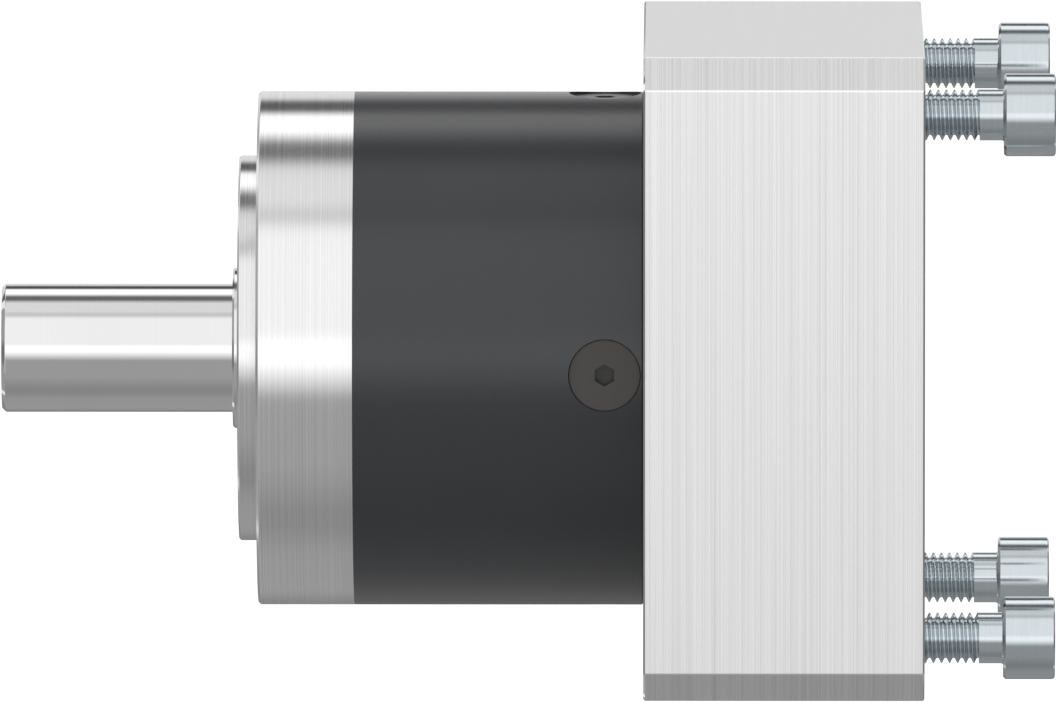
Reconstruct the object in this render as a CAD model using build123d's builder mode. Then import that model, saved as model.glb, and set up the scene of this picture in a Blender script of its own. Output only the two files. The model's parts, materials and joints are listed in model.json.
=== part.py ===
from build123d import *
import os
from math import atan, cos, degrees, pi, radians, sin, sqrt, tan

# Inline planetary gearbox with a square motor adapter. All sizes are in millimetres.
# The gearbox turns about X. X 0 is the output flange's mounting face, the output shaft points
# to -X and the motor side to +X. Z is up, and -Y is the side that the viewer faces.

# Output shaft
shaft_diameter = 20
shaft_length = 36
shaft_end_chamfer = 0.6
journal_diameter = 25
collar_height = 1
collar_bevel = 0.3
centre_hole_radius = 2.5
centre_hole_depth = 16
hole_countersink = 0.6

# Output flange and ring gear housing
housing_wall = 8
body_end_bevel = 0.25
pilot_diameter = 60
pilot_height = 3
pilot_bevel = 0.3
flange_thickness = 15
flange_bevel = 0.4
bolt_edge_distance = 5
bolt_hole_radius = 2.5
bolt_hole_depth = 11
bolt_count = 4

# Gears: one stage, the ring gear stands still and the three planets drive the output shaft
gear_module = 1.25
pressure_angle = 20
sun_teeth = 12
planet_teeth = 18
planet_count = 3
planet_width = 12
tooth_backlash = 0.14
root_depth_factor = 1.25
tip_relief = 0.03
ring_tip_relief = 0.09
ring_tooth_overhang = 1.5
spigot_step = 0.4375

# Planet carrier
carrier_disc_thickness = 5
carrier_plate_thickness = 4
carrier_rim_gap = 1
carrier_face_gap = 0.5
carrier_shoulder_step = 2
post_diameter = 12
post_inset = 0.4
pin_diameter = 8
pin_seat_depth = 4
pin_end_recess = 0.2
roller_diameter = 2
roller_count = 15
roller_end_gap = 0.35
washer_thickness = 0.45
washer_axial_gap = 0.05
washer_rim_width = 5.5
carrier_bore_gap = 2.25

# Output bearings, two alike side by side, and their circlips
output_bearing_outer = 42
output_bearing_width = 9
output_ball_diameter = 4.8
output_ball_count = 14
bearing_spacer_width = 1
bearing_shoulder = 1.8
bearing_shoulder_height = 3.5
circlip_groove_step = 0.55
shaft_circlip_thickness = 1.2
shaft_circlip_width = 2.9
housing_circlip_thickness = 1.75
housing_groove_step = 1.25
housing_circlip_width = 3
circlip_opening = 7
circlip_lug_radius = 1.7
circlip_lug_hole_radius = 0.9
spigot_lip_length = 0.75

# Input bearing
input_bearing_outer = 42
input_bearing_width = 7
input_ball_diameter = 3.5
input_ball_count = 18
input_lip_width = 1
input_lip_step = 2
input_nose_length = 1
plate_to_flange_gap = 1

# Details common to the ball bearings
groove_gap = 0.1
ring_land_share = 0.24
cage_wall_share = 0.15
cage_side_gap = 1

# Shaft seals and O-rings
output_seal_outer = 38
output_seal_width = 7
output_seal_recess = 0.2
input_seal_outer = 42
input_seal_width = 7
seal_case_wall = 0.8
seal_lip_wall = 0.9
seal_lip_rise = 1
seal_spring_radius = 0.7
seal_spring_share = 0.62
oring_groove_depth = 1.3
oring_groove_width = 2
oring_edge_width = 0.8

# Input flange
input_rim_wall = 3.2
input_rim_start_gap = 1

# Sun shaft and clamping hub
hub_diameter = 30
motor_shaft_diameter = 19
motor_shaft_length = 40
motor_shaft_end_gap = 1.5
hub_recess = 7.5
hub_collar_step = 1.5
hub_slit_width = 1.5
hub_slit_length = 16
neck_diameter = 14
journal_lead = 0.8
clamp_ring_wall = 10
clamp_ring_width = 12
clamp_ring_setback = 1
clamp_slit_width = 2
clamp_screw_outset = 0.5
clamp_screw_seat = 6
clamp_screw_length = 16

# Motor adapter
adapter_size = 100
adapter_length = 43.5
adapter_corner_width = 4.7
adapter_edge_break_radius = 0.2
adapter_end_bevel = 0.3
adapter_floor_thickness = 10
adapter_cavity_diameter = 74
adapter_nose_wall = 3
seal_shoulder_length = 1
motor_pilot_diameter = 95
motor_pilot_depth = 4
access_hole_radius = 6
access_plug_length = 8
access_plug_recess = 0.3

# Screws
screw_pattern_turn = 45
socket_corner_turn = 30
motor_bolt_circle_diameter = 115
motor_screw_count = 4
motor_thread_radius = 3.6
motor_shank_radius = 3.95
motor_shank_length = 3.75
motor_screw_length = 30
motor_screw_gap_length = 12.2
motor_head_radius = 6.4
motor_head_height = 8
motor_head_rounding = 0.5
motor_hole_depth = 21.5
motor_socket_width = 6
radial_screw_count = 4
radial_screw_radius = 2.5
radial_head_radius = 5.6
radial_screw_engagement = 8.4
radial_socket_width = 3
radial_socket_depth = 2.2
radial_screw_end_distance = 6
adapter_screw_count = 4
adapter_screw_circle_diameter = 54
adapter_screw_radius = 2.5
adapter_screw_length = 12
adapter_head_radius = 4.25
adapter_head_height = 5
adapter_head_recess = 0.3
adapter_socket_width = 4
carrier_screw_radius = 2
carrier_head_radius = 4
carrier_screw_length = 12
carrier_socket_width = 2.5
carrier_socket_depth = 1.5
clamp_screw_radius = 3
clamp_head_radius = 5
clamp_head_height = 6
clamp_socket_width = 5

# Clearances
seat_clearance = 0.02
running_clearance = 0.05
thread_clearance = 0.03
bolt_clearance = 0.25
head_clearance = 0.05
counterbore_clearance = 0.4
hole_end_gap = 0.6

# Radii that follow from the sizes above
shaft_radius = shaft_diameter / 2
journal_radius = journal_diameter / 2
pilot_radius = pilot_diameter / 2
hub_radius = hub_diameter / 2
clamp_ring_radius = hub_radius + clamp_ring_wall
clamp_screw_offset = hub_radius + clamp_ring_wall / 2 + clamp_screw_outset
pin_radius = pin_diameter / 2
post_radius = post_diameter / 2

# Gear sizes: the tips stop short of the radii where the involutes of the mating gears end
ring_teeth = sun_teeth + 2 * planet_teeth
pressure = radians(pressure_angle)
centre_distance = gear_module * (sun_teeth + planet_teeth) / 2
mesh_run = centre_distance * sin(pressure)
sun_pitch_radius = gear_module * sun_teeth / 2
planet_pitch_radius = gear_module * planet_teeth / 2
ring_pitch_radius = gear_module * ring_teeth / 2
root_depth = root_depth_factor * gear_module
planet_involute_limit = sqrt((planet_pitch_radius * cos(pressure)) ** 2 + mesh_run**2)
ring_involute_limit = sqrt((ring_pitch_radius * cos(pressure)) ** 2 + mesh_run**2)
sun_tip_radius = sun_pitch_radius + gear_module
planet_tip_radius = planet_involute_limit - tip_relief
ring_tip_radius = ring_involute_limit + ring_tip_relief
ring_root_radius = ring_pitch_radius + root_depth
tooth_width = pi * gear_module / 2 - tooth_backlash / 2
tooth_space = pi * gear_module / 2 + tooth_backlash / 2

# Radii that follow from the ring gear
spigot_radius = ring_root_radius + spigot_step
housing_bore_radius = spigot_radius + seat_clearance
body_radius = spigot_radius + housing_wall
bolt_circle_radius = body_radius - bolt_edge_distance
carrier_radius = ring_tip_radius - carrier_rim_gap
post_circle_radius = carrier_radius - post_radius - post_inset
carrier_bore_radius = sun_tip_radius + carrier_bore_gap
planet_bore_radius = pin_radius + roller_diameter

# Places along the axis, from the output shaft to the motor side
pilot_face = -pilot_height
collar_face = pilot_face - collar_height
shaft_end = collar_face - shaft_length
output_seal_start = pilot_face + output_seal_recess
output_seal_end = output_seal_start + output_seal_width
front_bearing_start = output_seal_end + bearing_shoulder
front_bearing_end = front_bearing_start + output_bearing_width
rear_bearing_start = front_bearing_end + bearing_spacer_width
rear_bearing_end = rear_bearing_start + output_bearing_width
spigot_end = rear_bearing_end + housing_circlip_thickness + spigot_lip_length
disc_start = spigot_end + carrier_face_gap
disc_end = disc_start + carrier_disc_thickness
planet_start = disc_end + washer_thickness + washer_axial_gap
planet_end = planet_start + planet_width
plate_start = planet_end + washer_axial_gap + washer_thickness
plate_end = plate_start + carrier_plate_thickness
ring_teeth_start = planet_start - ring_tooth_overhang
ring_teeth_end = planet_end + ring_tooth_overhang
input_rim_start = ring_teeth_end + input_rim_start_gap
input_disc_start = plate_end + plate_to_flange_gap
input_bearing_start = input_disc_start + input_lip_width
input_bearing_end = input_bearing_start + input_bearing_width
housing_end = input_bearing_end + input_nose_length
input_seal_start = housing_end + seal_shoulder_length
input_seal_end = input_seal_start + input_seal_width
adapter_floor_end = housing_end + adapter_floor_thickness
adapter_end = housing_end + adapter_length
motor_pilot_start = adapter_end - motor_pilot_depth
hub_end = adapter_end - hub_recess
motor_bore_start = adapter_end - motor_shaft_length - motor_shaft_end_gap
clamp_ring_end = hub_end - clamp_ring_setback
clamp_ring_start = clamp_ring_end - clamp_ring_width
clamp_ring_middle = (clamp_ring_start + clamp_ring_end) / 2
radial_screw_place = housing_end - radial_screw_end_distance
motor_head_seat = adapter_end + motor_screw_gap_length

os.makedirs("parts", exist_ok=True)


def finish(piece, name):
    """Label a finished piece and write it to its own file."""
    piece.part.label = name
    export_step(piece.part, f"parts/{name}.step")


def polar(radius, angle):
    """Return the sketch point at a radius and an angle in degrees."""
    return (radius * cos(radians(angle)), radius * sin(radians(angle)))


def cross_plane(x, centre=(0, 0)):
    """Return a sketch plane square to the gearbox axis, with its own origin at (y, z)."""
    return Plane(origin=(x, *centre), x_dir=(0, 1, 0), z_dir=(1, 0, 0))


def radial_plane(x, radius, angle):
    """Return a plane that faces outwards from the gearbox axis, at this radius and angle."""
    return Plane(origin=(x, *polar(radius, angle)), x_dir=(1, 0, 0), z_dir=(0, *polar(1, angle)))


def turn(points, mode=Mode.ADD):
    """Turn a closed outline of (x, radius) points about the gearbox axis."""
    with BuildSketch(Plane.XZ) as section:
        with BuildLine():
            Polyline(*points, close=True)
        make_face()
    revolve(section.sketch, axis=Axis.X, mode=mode)


def turn_round(x, centre_radius, section_radius, mode=Mode.ADD):
    """Turn a round section about the gearbox axis, as in a ball groove or an O-ring."""
    with BuildSketch(Plane.XZ) as section:
        with Locations((x, centre_radius)):
            Circle(section_radius)
    revolve(section.sketch, axis=Axis.X, mode=mode)


def ring(start, end, outer, inner=0, centre=(0, 0), mode=Mode.ADD):
    """Extrude a ring along X, or a disc where inner is 0, centred at (y, z)."""
    with BuildSketch(cross_plane(start, centre)) as section:
        Circle(outer)
        if inner:
            Circle(inner, mode=Mode.SUBTRACT)
    extrude(section.sketch, amount=end - start, mode=mode)


def gear_outline(plane, teeth, valley_radius, tip_radius, width, phase):
    """Return a gear's outline on a plane, with a tooth centred at the phase angle.

    The width is a tooth's width along the pitch circle. Each flank is an involute, drawn as one
    arc through three of its points, and it runs straight inwards below the base circle.
    """
    pitch_radius = gear_module * teeth / 2
    base_radius = pitch_radius * cos(pressure)
    foot_radius = max(base_radius, valley_radius)
    flank_radii = (foot_radius, (foot_radius + tip_radius) / 2, tip_radius)

    def half_tooth(radius):
        rolled = sqrt(max((radius / base_radius) ** 2 - 1, 0))
        spread = tan(pressure) - pressure - rolled + atan(rolled)
        return degrees(width / (2 * pitch_radius) + spread)

    foot_angle = half_tooth(foot_radius)
    with BuildSketch(plane) as outline:
        with BuildLine():
            for tooth in range(teeth):
                centre = phase + 360 * tooth / teeth
                following = centre + 360 / teeth
                rise = [polar(radius, centre - half_tooth(radius)) for radius in flank_radii]
                fall = [polar(radius, centre + half_tooth(radius)) for radius in reversed(flank_radii)]
                valley_start = polar(valley_radius, centre + foot_angle)
                valley_end = polar(valley_radius, following - foot_angle)
                ThreePointArc(*rise)
                ThreePointArc(rise[-1], polar(tip_radius, centre), fall[0])
                ThreePointArc(*fall)
                if valley_radius < foot_radius:
                    Line(fall[-1], valley_start)
                    Line(valley_end, polar(foot_radius, following - foot_angle))
                ThreePointArc(valley_start, polar(valley_radius, centre + 180 / teeth), valley_end)
        make_face()
    return outline.sketch


def hex_socket(across_flats, depth, top, turned=0):
    """Cut a hexagon socket down from a height on Z."""
    with BuildSketch(Plane.XY.offset(top)) as hexagon:
        RegularPolygon(across_flats / 2, 6, major_radius=False, rotation=turned)
    extrude(hexagon.sketch, amount=-depth, mode=Mode.SUBTRACT)


def countersunk_form(head_radius, shank_radius, length, rim=0, socket=0, socket_depth=0):
    """Make a countersunk screw, or the space it needs, hanging down from its head at Z 0.

    The rim is a straight wall above the head, which a countersink in a curved face needs.
    """
    hanging = (Align.CENTER, Align.CENTER, Align.MAX)
    with BuildPart() as form:
        Cylinder(shank_radius, length, align=hanging)
        Cone(shank_radius, head_radius, head_radius - shank_radius, align=hanging)
        if rim:
            Cylinder(head_radius, rim, align=(Align.CENTER, Align.CENTER, Align.MIN))
        if socket:
            hex_socket(socket, socket_depth, 0, socket_corner_turn)
    return form.part


def cap_screw_form(head_radius, head_height, shank_radius, length, socket=0):
    """Make a socket head screw, or the space it needs, with its head standing on Z 0."""
    with BuildPart() as form:
        Cylinder(shank_radius, length, align=(Align.CENTER, Align.CENTER, Align.MAX))
        Cylinder(head_radius, head_height, align=(Align.CENTER, Align.CENTER, Align.MIN))
        if socket:
            hex_socket(socket, head_height / 2, head_height)
    return form.part


def ball_bearing(name, start, bore_radius, outer_radius, width, ball_diameter, ball_count):
    """Make a deep groove ball bearing's two rings, cage and balls from its first face on."""
    ball_radius = ball_diameter / 2
    middle = start + width / 2
    pitch_radius = (bore_radius + outer_radius) / 2
    land = ball_diameter * ring_land_share
    cage_wall = ball_diameter * cage_wall_share
    with BuildPart() as outer_ring:
        ring(start, start + width, outer_radius, pitch_radius + land)
        turn_round(middle, pitch_radius, ball_radius + groove_gap, Mode.SUBTRACT)
    finish(outer_ring, f"{name}_outer_ring")
    with BuildPart() as inner_ring:
        ring(start, start + width, pitch_radius - land, bore_radius)
        turn_round(middle, pitch_radius, ball_radius + groove_gap, Mode.SUBTRACT)
    finish(inner_ring, f"{name}_inner_ring")
    ball_places = [radial_plane(middle, pitch_radius, 360 * ball / ball_count) for ball in range(ball_count)]
    with BuildPart() as cage:
        ring(
            start + cage_side_gap,
            start + width - cage_side_gap,
            pitch_radius + cage_wall,
            pitch_radius - cage_wall,
        )
        with Locations(*ball_places):
            Cylinder(ball_radius + groove_gap, ball_diameter, mode=Mode.SUBTRACT)
    finish(cage, f"{name}_cage")
    with BuildPart() as balls:
        with Locations(*ball_places):
            Sphere(ball_radius)
    finish(balls, f"{name}_balls")


def shaft_seal(name, outside, facing, bore_radius, outer_radius, width):
    """Make a shaft seal's metal case, rubber lip and garter spring.

    outside is the x of its outer face, and facing is 1 or -1 for the way its lip points.
    """
    spring_depth = width * seal_spring_share
    lip_gap = bore_radius + running_clearance
    lip_inside = bore_radius + seal_lip_rise
    lip_outside = lip_inside + seal_lip_wall
    case_inside = outer_radius - seal_case_wall

    def place(points):
        return [(outside + facing * depth, radius) for depth, radius in points]

    with BuildPart() as case:
        turn(
            place(
                [
                    (0, lip_outside),
                    (0, outer_radius),
                    (width, outer_radius),
                    (width, case_inside),
                    (seal_case_wall, case_inside),
                    (seal_case_wall, lip_outside),
                ]
            )
        )
    finish(case, f"{name}_case")
    with BuildPart() as lip:
        turn(
            place(
                [
                    (0, lip_inside),
                    (0, lip_outside),
                    (seal_case_wall, lip_outside),
                    (seal_case_wall, case_inside),
                    (2 * seal_case_wall, case_inside),
                    (2 * seal_case_wall, lip_outside),
                    (spring_depth + seal_spring_radius, lip_outside),
                    (spring_depth + seal_spring_radius, lip_inside),
                    (spring_depth, lip_gap),
                    (spring_depth - seal_spring_radius, lip_inside),
                ]
            )
        )
    finish(lip, f"{name}_lip")
    with BuildPart() as spring:
        turn_round(
            outside + facing * spring_depth,
            lip_outside + seal_spring_radius + seat_clearance,
            seal_spring_radius,
        )
    finish(spring, f"{name}_spring")


def circlip(name, start, thickness, inner, outer, lug_radius):
    """Make a circlip with a lug at each end of its opening, which faces up."""
    half_opening = circlip_opening / 2
    lug_places = []
    for side in (-1, 1):
        across = side * half_opening
        lug_places.append((across, sqrt(lug_radius**2 - half_opening**2)))
    with BuildPart() as clip:
        with BuildSketch(cross_plane(start)):
            Circle(outer)
            Circle(inner, mode=Mode.SUBTRACT)
            with Locations((0, outer)):
                Rectangle(circlip_opening, outer, mode=Mode.SUBTRACT)
            with Locations(*lug_places):
                Circle(circlip_lug_radius)
                Circle(circlip_lug_hole_radius, mode=Mode.SUBTRACT)
        extrude(amount=thickness)
    finish(clip, name)


# Output bearings, seal, spacers and circlips
output_bearing_radius = output_bearing_outer / 2
output_pitch_radius = (journal_radius + output_bearing_radius) / 2
output_land = output_ball_diameter * ring_land_share
for bearing_name, bearing_start in (
    ("front_bearing", front_bearing_start),
    ("rear_bearing", rear_bearing_start),
):
    ball_bearing(
        bearing_name,
        bearing_start,
        journal_radius + seat_clearance,
        output_bearing_radius - seat_clearance,
        output_bearing_width,
        output_ball_diameter,
        output_ball_count,
    )

with BuildPart() as bearing_spacer_outer:
    ring(
        front_bearing_end,
        rear_bearing_start,
        output_bearing_radius - seat_clearance,
        output_pitch_radius + output_land,
    )
finish(bearing_spacer_outer, "bearing_spacer_outer")

with BuildPart() as bearing_spacer_inner:
    ring(
        front_bearing_end,
        rear_bearing_start,
        output_pitch_radius - output_land,
        journal_radius + seat_clearance,
    )
finish(bearing_spacer_inner, "bearing_spacer_inner")

shaft_groove_radius = journal_radius - circlip_groove_step
circlip(
    "shaft_circlip",
    front_bearing_start - shaft_circlip_thickness,
    shaft_circlip_thickness,
    shaft_groove_radius + seat_clearance,
    shaft_groove_radius + shaft_circlip_width,
    shaft_groove_radius + shaft_circlip_width,
)

housing_groove_radius = output_bearing_radius + housing_groove_step
circlip(
    "housing_circlip",
    rear_bearing_end,
    housing_circlip_thickness,
    housing_groove_radius - housing_circlip_width,
    housing_groove_radius - seat_clearance,
    housing_groove_radius - housing_circlip_width,
)

shaft_seal(
    "output_seal",
    output_seal_start,
    1,
    journal_radius,
    output_seal_outer / 2 - seat_clearance,
    output_seal_width,
)

# Output flange with its pilot, bearing seat and spigot
bearing_stop_radius = output_bearing_radius - bearing_shoulder_height
oring_groove_middle = (flange_thickness + spigot_end) / 2
oring_section_radius = (oring_groove_depth + seat_clearance) / 2 - seat_clearance
oring_middle_radius = spigot_radius - oring_groove_depth / 2
flange_front = Plane(origin=(0, 0, 0), x_dir=(0, 1, 0), z_dir=(-1, 0, 0))
with BuildPart() as output_flange:
    turn(
        [
            (pilot_face, 0),
            (pilot_face, pilot_radius - pilot_bevel),
            (pilot_face + pilot_bevel, pilot_radius),
            (0, pilot_radius),
            (0, body_radius - flange_bevel),
            (flange_bevel, body_radius),
            (flange_thickness, body_radius),
            (flange_thickness, spigot_radius),
            (spigot_end, spigot_radius),
            (spigot_end, 0),
        ]
    )
    ring(pilot_face, output_seal_end, output_seal_outer / 2, mode=Mode.SUBTRACT)
    ring(output_seal_end, front_bearing_start, bearing_stop_radius, mode=Mode.SUBTRACT)
    ring(front_bearing_start, spigot_end, output_bearing_radius, mode=Mode.SUBTRACT)
    ring(
        rear_bearing_end,
        rear_bearing_end + housing_circlip_thickness + running_clearance,
        housing_groove_radius,
        mode=Mode.SUBTRACT,
    )
    ring(
        oring_groove_middle - oring_groove_width / 2,
        oring_groove_middle + oring_groove_width / 2,
        spigot_radius,
        spigot_radius - oring_groove_depth,
        mode=Mode.SUBTRACT,
    )
    with Locations(flange_front):
        with PolarLocations(bolt_circle_radius, bolt_count, start_angle=screw_pattern_turn):
            Hole(bolt_hole_radius, bolt_hole_depth)
finish(output_flange, "output_flange")

with BuildPart() as output_oring:
    turn_round(oring_groove_middle, oring_middle_radius, oring_section_radius)
finish(output_oring, "output_oring")

# Radial countersunk screws, which hold the input flange in the ring gear housing
radial_flush_radius = sqrt(body_radius**2 - radial_head_radius**2)
radial_screw_tip = spigot_radius - radial_screw_engagement
radial_screw_length = radial_flush_radius - radial_screw_tip
radial_planes = []
for screw in range(radial_screw_count):
    screw_angle = 360 * screw / radial_screw_count - 90
    radial_planes.append(radial_plane(radial_screw_place, radial_flush_radius, screw_angle))

radial_screw = countersunk_form(
    radial_head_radius,
    radial_screw_radius,
    radial_screw_length,
    socket=radial_socket_width,
    socket_depth=radial_socket_depth,
)
with BuildPart() as radial_screws:
    with Locations(*radial_planes):
        add(radial_screw)
finish(radial_screws, "radial_screws")

# Ring gear housing, with the ring gear's teeth cut in its bore
radial_wall_cut = countersunk_form(
    radial_head_radius + head_clearance,
    radial_screw_radius + bolt_clearance,
    radial_screw_length,
    rim=body_radius - radial_flush_radius,
)
with BuildPart() as ring_gear_housing:
    turn(
        [
            (flange_thickness, housing_bore_radius),
            (flange_thickness, body_radius),
            (housing_end - body_end_bevel, body_radius),
            (housing_end, body_radius - body_end_bevel),
            (housing_end, housing_bore_radius),
            (ring_teeth_end, housing_bore_radius),
            (ring_teeth_end, ring_tip_radius),
            (ring_teeth_start, ring_tip_radius),
            (ring_teeth_start, housing_bore_radius),
        ]
    )
    tooth_spaces = gear_outline(
        cross_plane(ring_teeth_start),
        ring_teeth,
        ring_tip_radius,
        ring_root_radius,
        tooth_space,
        90 + 180 / ring_teeth,
    )
    extrude(tooth_spaces, amount=ring_teeth_end - ring_teeth_start, mode=Mode.SUBTRACT)
    with Locations(*radial_planes):
        add(radial_wall_cut, mode=Mode.SUBTRACT)
finish(ring_gear_housing, "ring_gear_housing")

# Output shaft in one piece with the carrier's front disc and posts
planet_angles = [90 + 360 * planet / planet_count for planet in range(planet_count)]
planet_centres = [polar(centre_distance, angle) for angle in planet_angles]
post_centres = [polar(post_circle_radius, angle + 180 / planet_count) for angle in planet_angles]
shaft_front = Plane(origin=(shaft_end, 0, 0), x_dir=(0, 1, 0), z_dir=(-1, 0, 0))
carrier_shoulder_radius = journal_radius + carrier_shoulder_step
with BuildPart() as output_shaft:
    turn(
        [
            (shaft_end, 0),
            (shaft_end, shaft_radius - shaft_end_chamfer),
            (shaft_end + shaft_end_chamfer, shaft_radius),
            (collar_face, shaft_radius),
            (collar_face, journal_radius - collar_bevel),
            (collar_face + collar_bevel, journal_radius),
            (rear_bearing_end, journal_radius),
            (rear_bearing_end, carrier_shoulder_radius),
            (disc_start, carrier_shoulder_radius),
            (disc_start, carrier_radius),
            (disc_end, carrier_radius),
            (disc_end, 0),
        ]
    )
    ring(
        front_bearing_start - shaft_circlip_thickness - running_clearance,
        front_bearing_start,
        journal_radius,
        shaft_groove_radius,
        mode=Mode.SUBTRACT,
    )
    for post_centre in post_centres:
        ring(disc_end, plate_start, post_radius, centre=post_centre)
        ring(
            plate_end - carrier_screw_length - hole_end_gap,
            plate_start,
            carrier_screw_radius + thread_clearance,
            centre=post_centre,
            mode=Mode.SUBTRACT,
        )
    for planet_centre in planet_centres:
        ring(
            disc_end - pin_seat_depth,
            disc_end,
            pin_radius + seat_clearance,
            centre=planet_centre,
            mode=Mode.SUBTRACT,
        )
    with Locations(shaft_front):
        CounterSinkHole(
            centre_hole_radius,
            centre_hole_radius + hole_countersink,
            centre_hole_depth,
            counter_sink_angle=90,
        )
finish(output_shaft, "output_shaft")

# Rear carrier plate and its countersunk screws
plate_back_planes = [cross_plane(plate_end, centre) for centre in post_centres]
carrier_plate_cut = countersunk_form(
    carrier_head_radius + head_clearance,
    carrier_screw_radius + bolt_clearance,
    carrier_screw_length,
)
with BuildPart() as carrier_rear_plate:
    ring(plate_start, plate_end, carrier_radius, carrier_bore_radius)
    for planet_centre in planet_centres:
        ring(plate_start, plate_end, pin_radius + seat_clearance, centre=planet_centre, mode=Mode.SUBTRACT)
    with Locations(*plate_back_planes):
        add(carrier_plate_cut, mode=Mode.SUBTRACT)
finish(carrier_rear_plate, "carrier_rear_plate")

carrier_screw = countersunk_form(
    carrier_head_radius,
    carrier_screw_radius,
    carrier_screw_length,
    socket=carrier_socket_width,
    socket_depth=carrier_socket_depth,
)
with BuildPart() as carrier_screws:
    with Locations(*plate_back_planes):
        add(carrier_screw)
finish(carrier_screws, "carrier_screws")

# Planets: each gear runs on loose needle rollers around its pin, between two thrust washers
roller_radius = roller_diameter / 2 - seat_clearance
roller_circle_radius = pin_radius + roller_diameter / 2
washer_outer_radius = pin_radius + washer_rim_width
for number, (angle, centre) in enumerate(zip(planet_angles, planet_centres), start=1):
    carried_round = angle - planet_angles[0]
    planet_phase = 90 + 180 / planet_teeth + carried_round * (1 - ring_teeth / planet_teeth)
    with BuildPart() as planet_gear:
        planet_outline = gear_outline(
            cross_plane(planet_start, centre),
            planet_teeth,
            planet_pitch_radius - root_depth,
            planet_tip_radius,
            tooth_width,
            planet_phase,
        )
        extrude(planet_outline, amount=planet_width)
        ring(planet_start, planet_end, planet_bore_radius, centre=centre, mode=Mode.SUBTRACT)
    finish(planet_gear, f"planet_gear_{number}")

    with BuildPart() as planet_pin:
        ring(disc_end - pin_seat_depth, plate_end - pin_end_recess, pin_radius, centre=centre)
    finish(planet_pin, f"planet_pin_{number}")

    with BuildPart() as planet_rollers:
        with BuildSketch(cross_plane(planet_start + roller_end_gap, centre)):
            with PolarLocations(roller_circle_radius, roller_count):
                Circle(roller_radius)
        extrude(amount=planet_width - 2 * roller_end_gap)
    finish(planet_rollers, f"planet_rollers_{number}")

    with BuildPart() as planet_washers:
        for washer_start in (disc_end, plate_start - washer_thickness):
            ring(
                washer_start,
                washer_start + washer_thickness,
                washer_outer_radius,
                pin_radius + seat_clearance,
                centre=centre,
            )
    finish(planet_washers, f"planet_washers_{number}")

# Sun shaft: pinion, neck, bearing journal and the slit clamping hub for the motor shaft
sun_phase = 90 + 180 / sun_teeth * (planet_teeth % 2)
sun_start = disc_end + carrier_face_gap
sun_end = plate_start
journal_start = input_bearing_start - journal_lead
collar_end = housing_end
with BuildPart() as sun_shaft:
    sun_outline = gear_outline(
        cross_plane(sun_start),
        sun_teeth,
        sun_pitch_radius - root_depth,
        sun_tip_radius,
        tooth_width,
        sun_phase,
    )
    extrude(sun_outline, amount=sun_end - sun_start)
    turn(
        [
            (sun_end, 0),
            (sun_end, neck_diameter / 2),
            (journal_start, neck_diameter / 2),
            (journal_start, hub_radius),
            (input_bearing_end, hub_radius),
            (input_bearing_end, hub_radius + hub_collar_step),
            (collar_end, hub_radius + hub_collar_step),
            (collar_end, hub_radius),
            (hub_end, hub_radius),
            (hub_end, 0),
        ]
    )
    ring(motor_bore_start, hub_end, motor_shaft_diameter / 2, mode=Mode.SUBTRACT)
    with BuildSketch(cross_plane(hub_end)):
        Rectangle(hub_slit_width, hub_diameter + hub_slit_width)
        Rectangle(hub_diameter + hub_slit_width, hub_slit_width)
    extrude(amount=-hub_slit_length, mode=Mode.SUBTRACT)
finish(sun_shaft, "sun_shaft")

# Clamp ring around the hub, slit at the top, and the screw that draws it together
clamp_screw_plane = Plane(
    origin=(clamp_ring_middle, clamp_screw_seat, clamp_screw_offset),
    x_dir=(1, 0, 0),
    z_dir=(0, 1, 0),
)
clamp_screw_cut = cap_screw_form(
    clamp_head_radius + counterbore_clearance,
    clamp_ring_radius,
    clamp_screw_radius + thread_clearance,
    2 * clamp_ring_radius,
)
with BuildPart() as clamp_ring:
    ring(clamp_ring_start, clamp_ring_end, clamp_ring_radius, hub_radius + seat_clearance)
    with BuildSketch(cross_plane(clamp_ring_start)):
        with Locations((0, clamp_ring_radius)):
            Rectangle(clamp_slit_width, clamp_ring_wall + clamp_ring_radius)
    extrude(amount=clamp_ring_width, mode=Mode.SUBTRACT)
    with Locations(clamp_screw_plane):
        add(clamp_screw_cut, mode=Mode.SUBTRACT)
finish(clamp_ring, "clamp_ring")

clamp_screw_body = cap_screw_form(
    clamp_head_radius,
    clamp_head_height,
    clamp_screw_radius,
    clamp_screw_length,
    clamp_socket_width,
)
with BuildPart() as clamp_screw:
    with Locations(clamp_screw_plane):
        add(clamp_screw_body)
finish(clamp_screw, "clamp_screw")

# Input bearing and seal
input_bearing_radius = input_bearing_outer / 2
ball_bearing(
    "input_bearing",
    input_bearing_start,
    hub_radius + seat_clearance,
    input_bearing_radius - seat_clearance,
    input_bearing_width,
    input_ball_diameter,
    input_ball_count,
)
shaft_seal(
    "input_seal",
    input_seal_end,
    -1,
    hub_radius,
    input_seal_outer / 2 - seat_clearance,
    input_seal_width,
)

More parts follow.
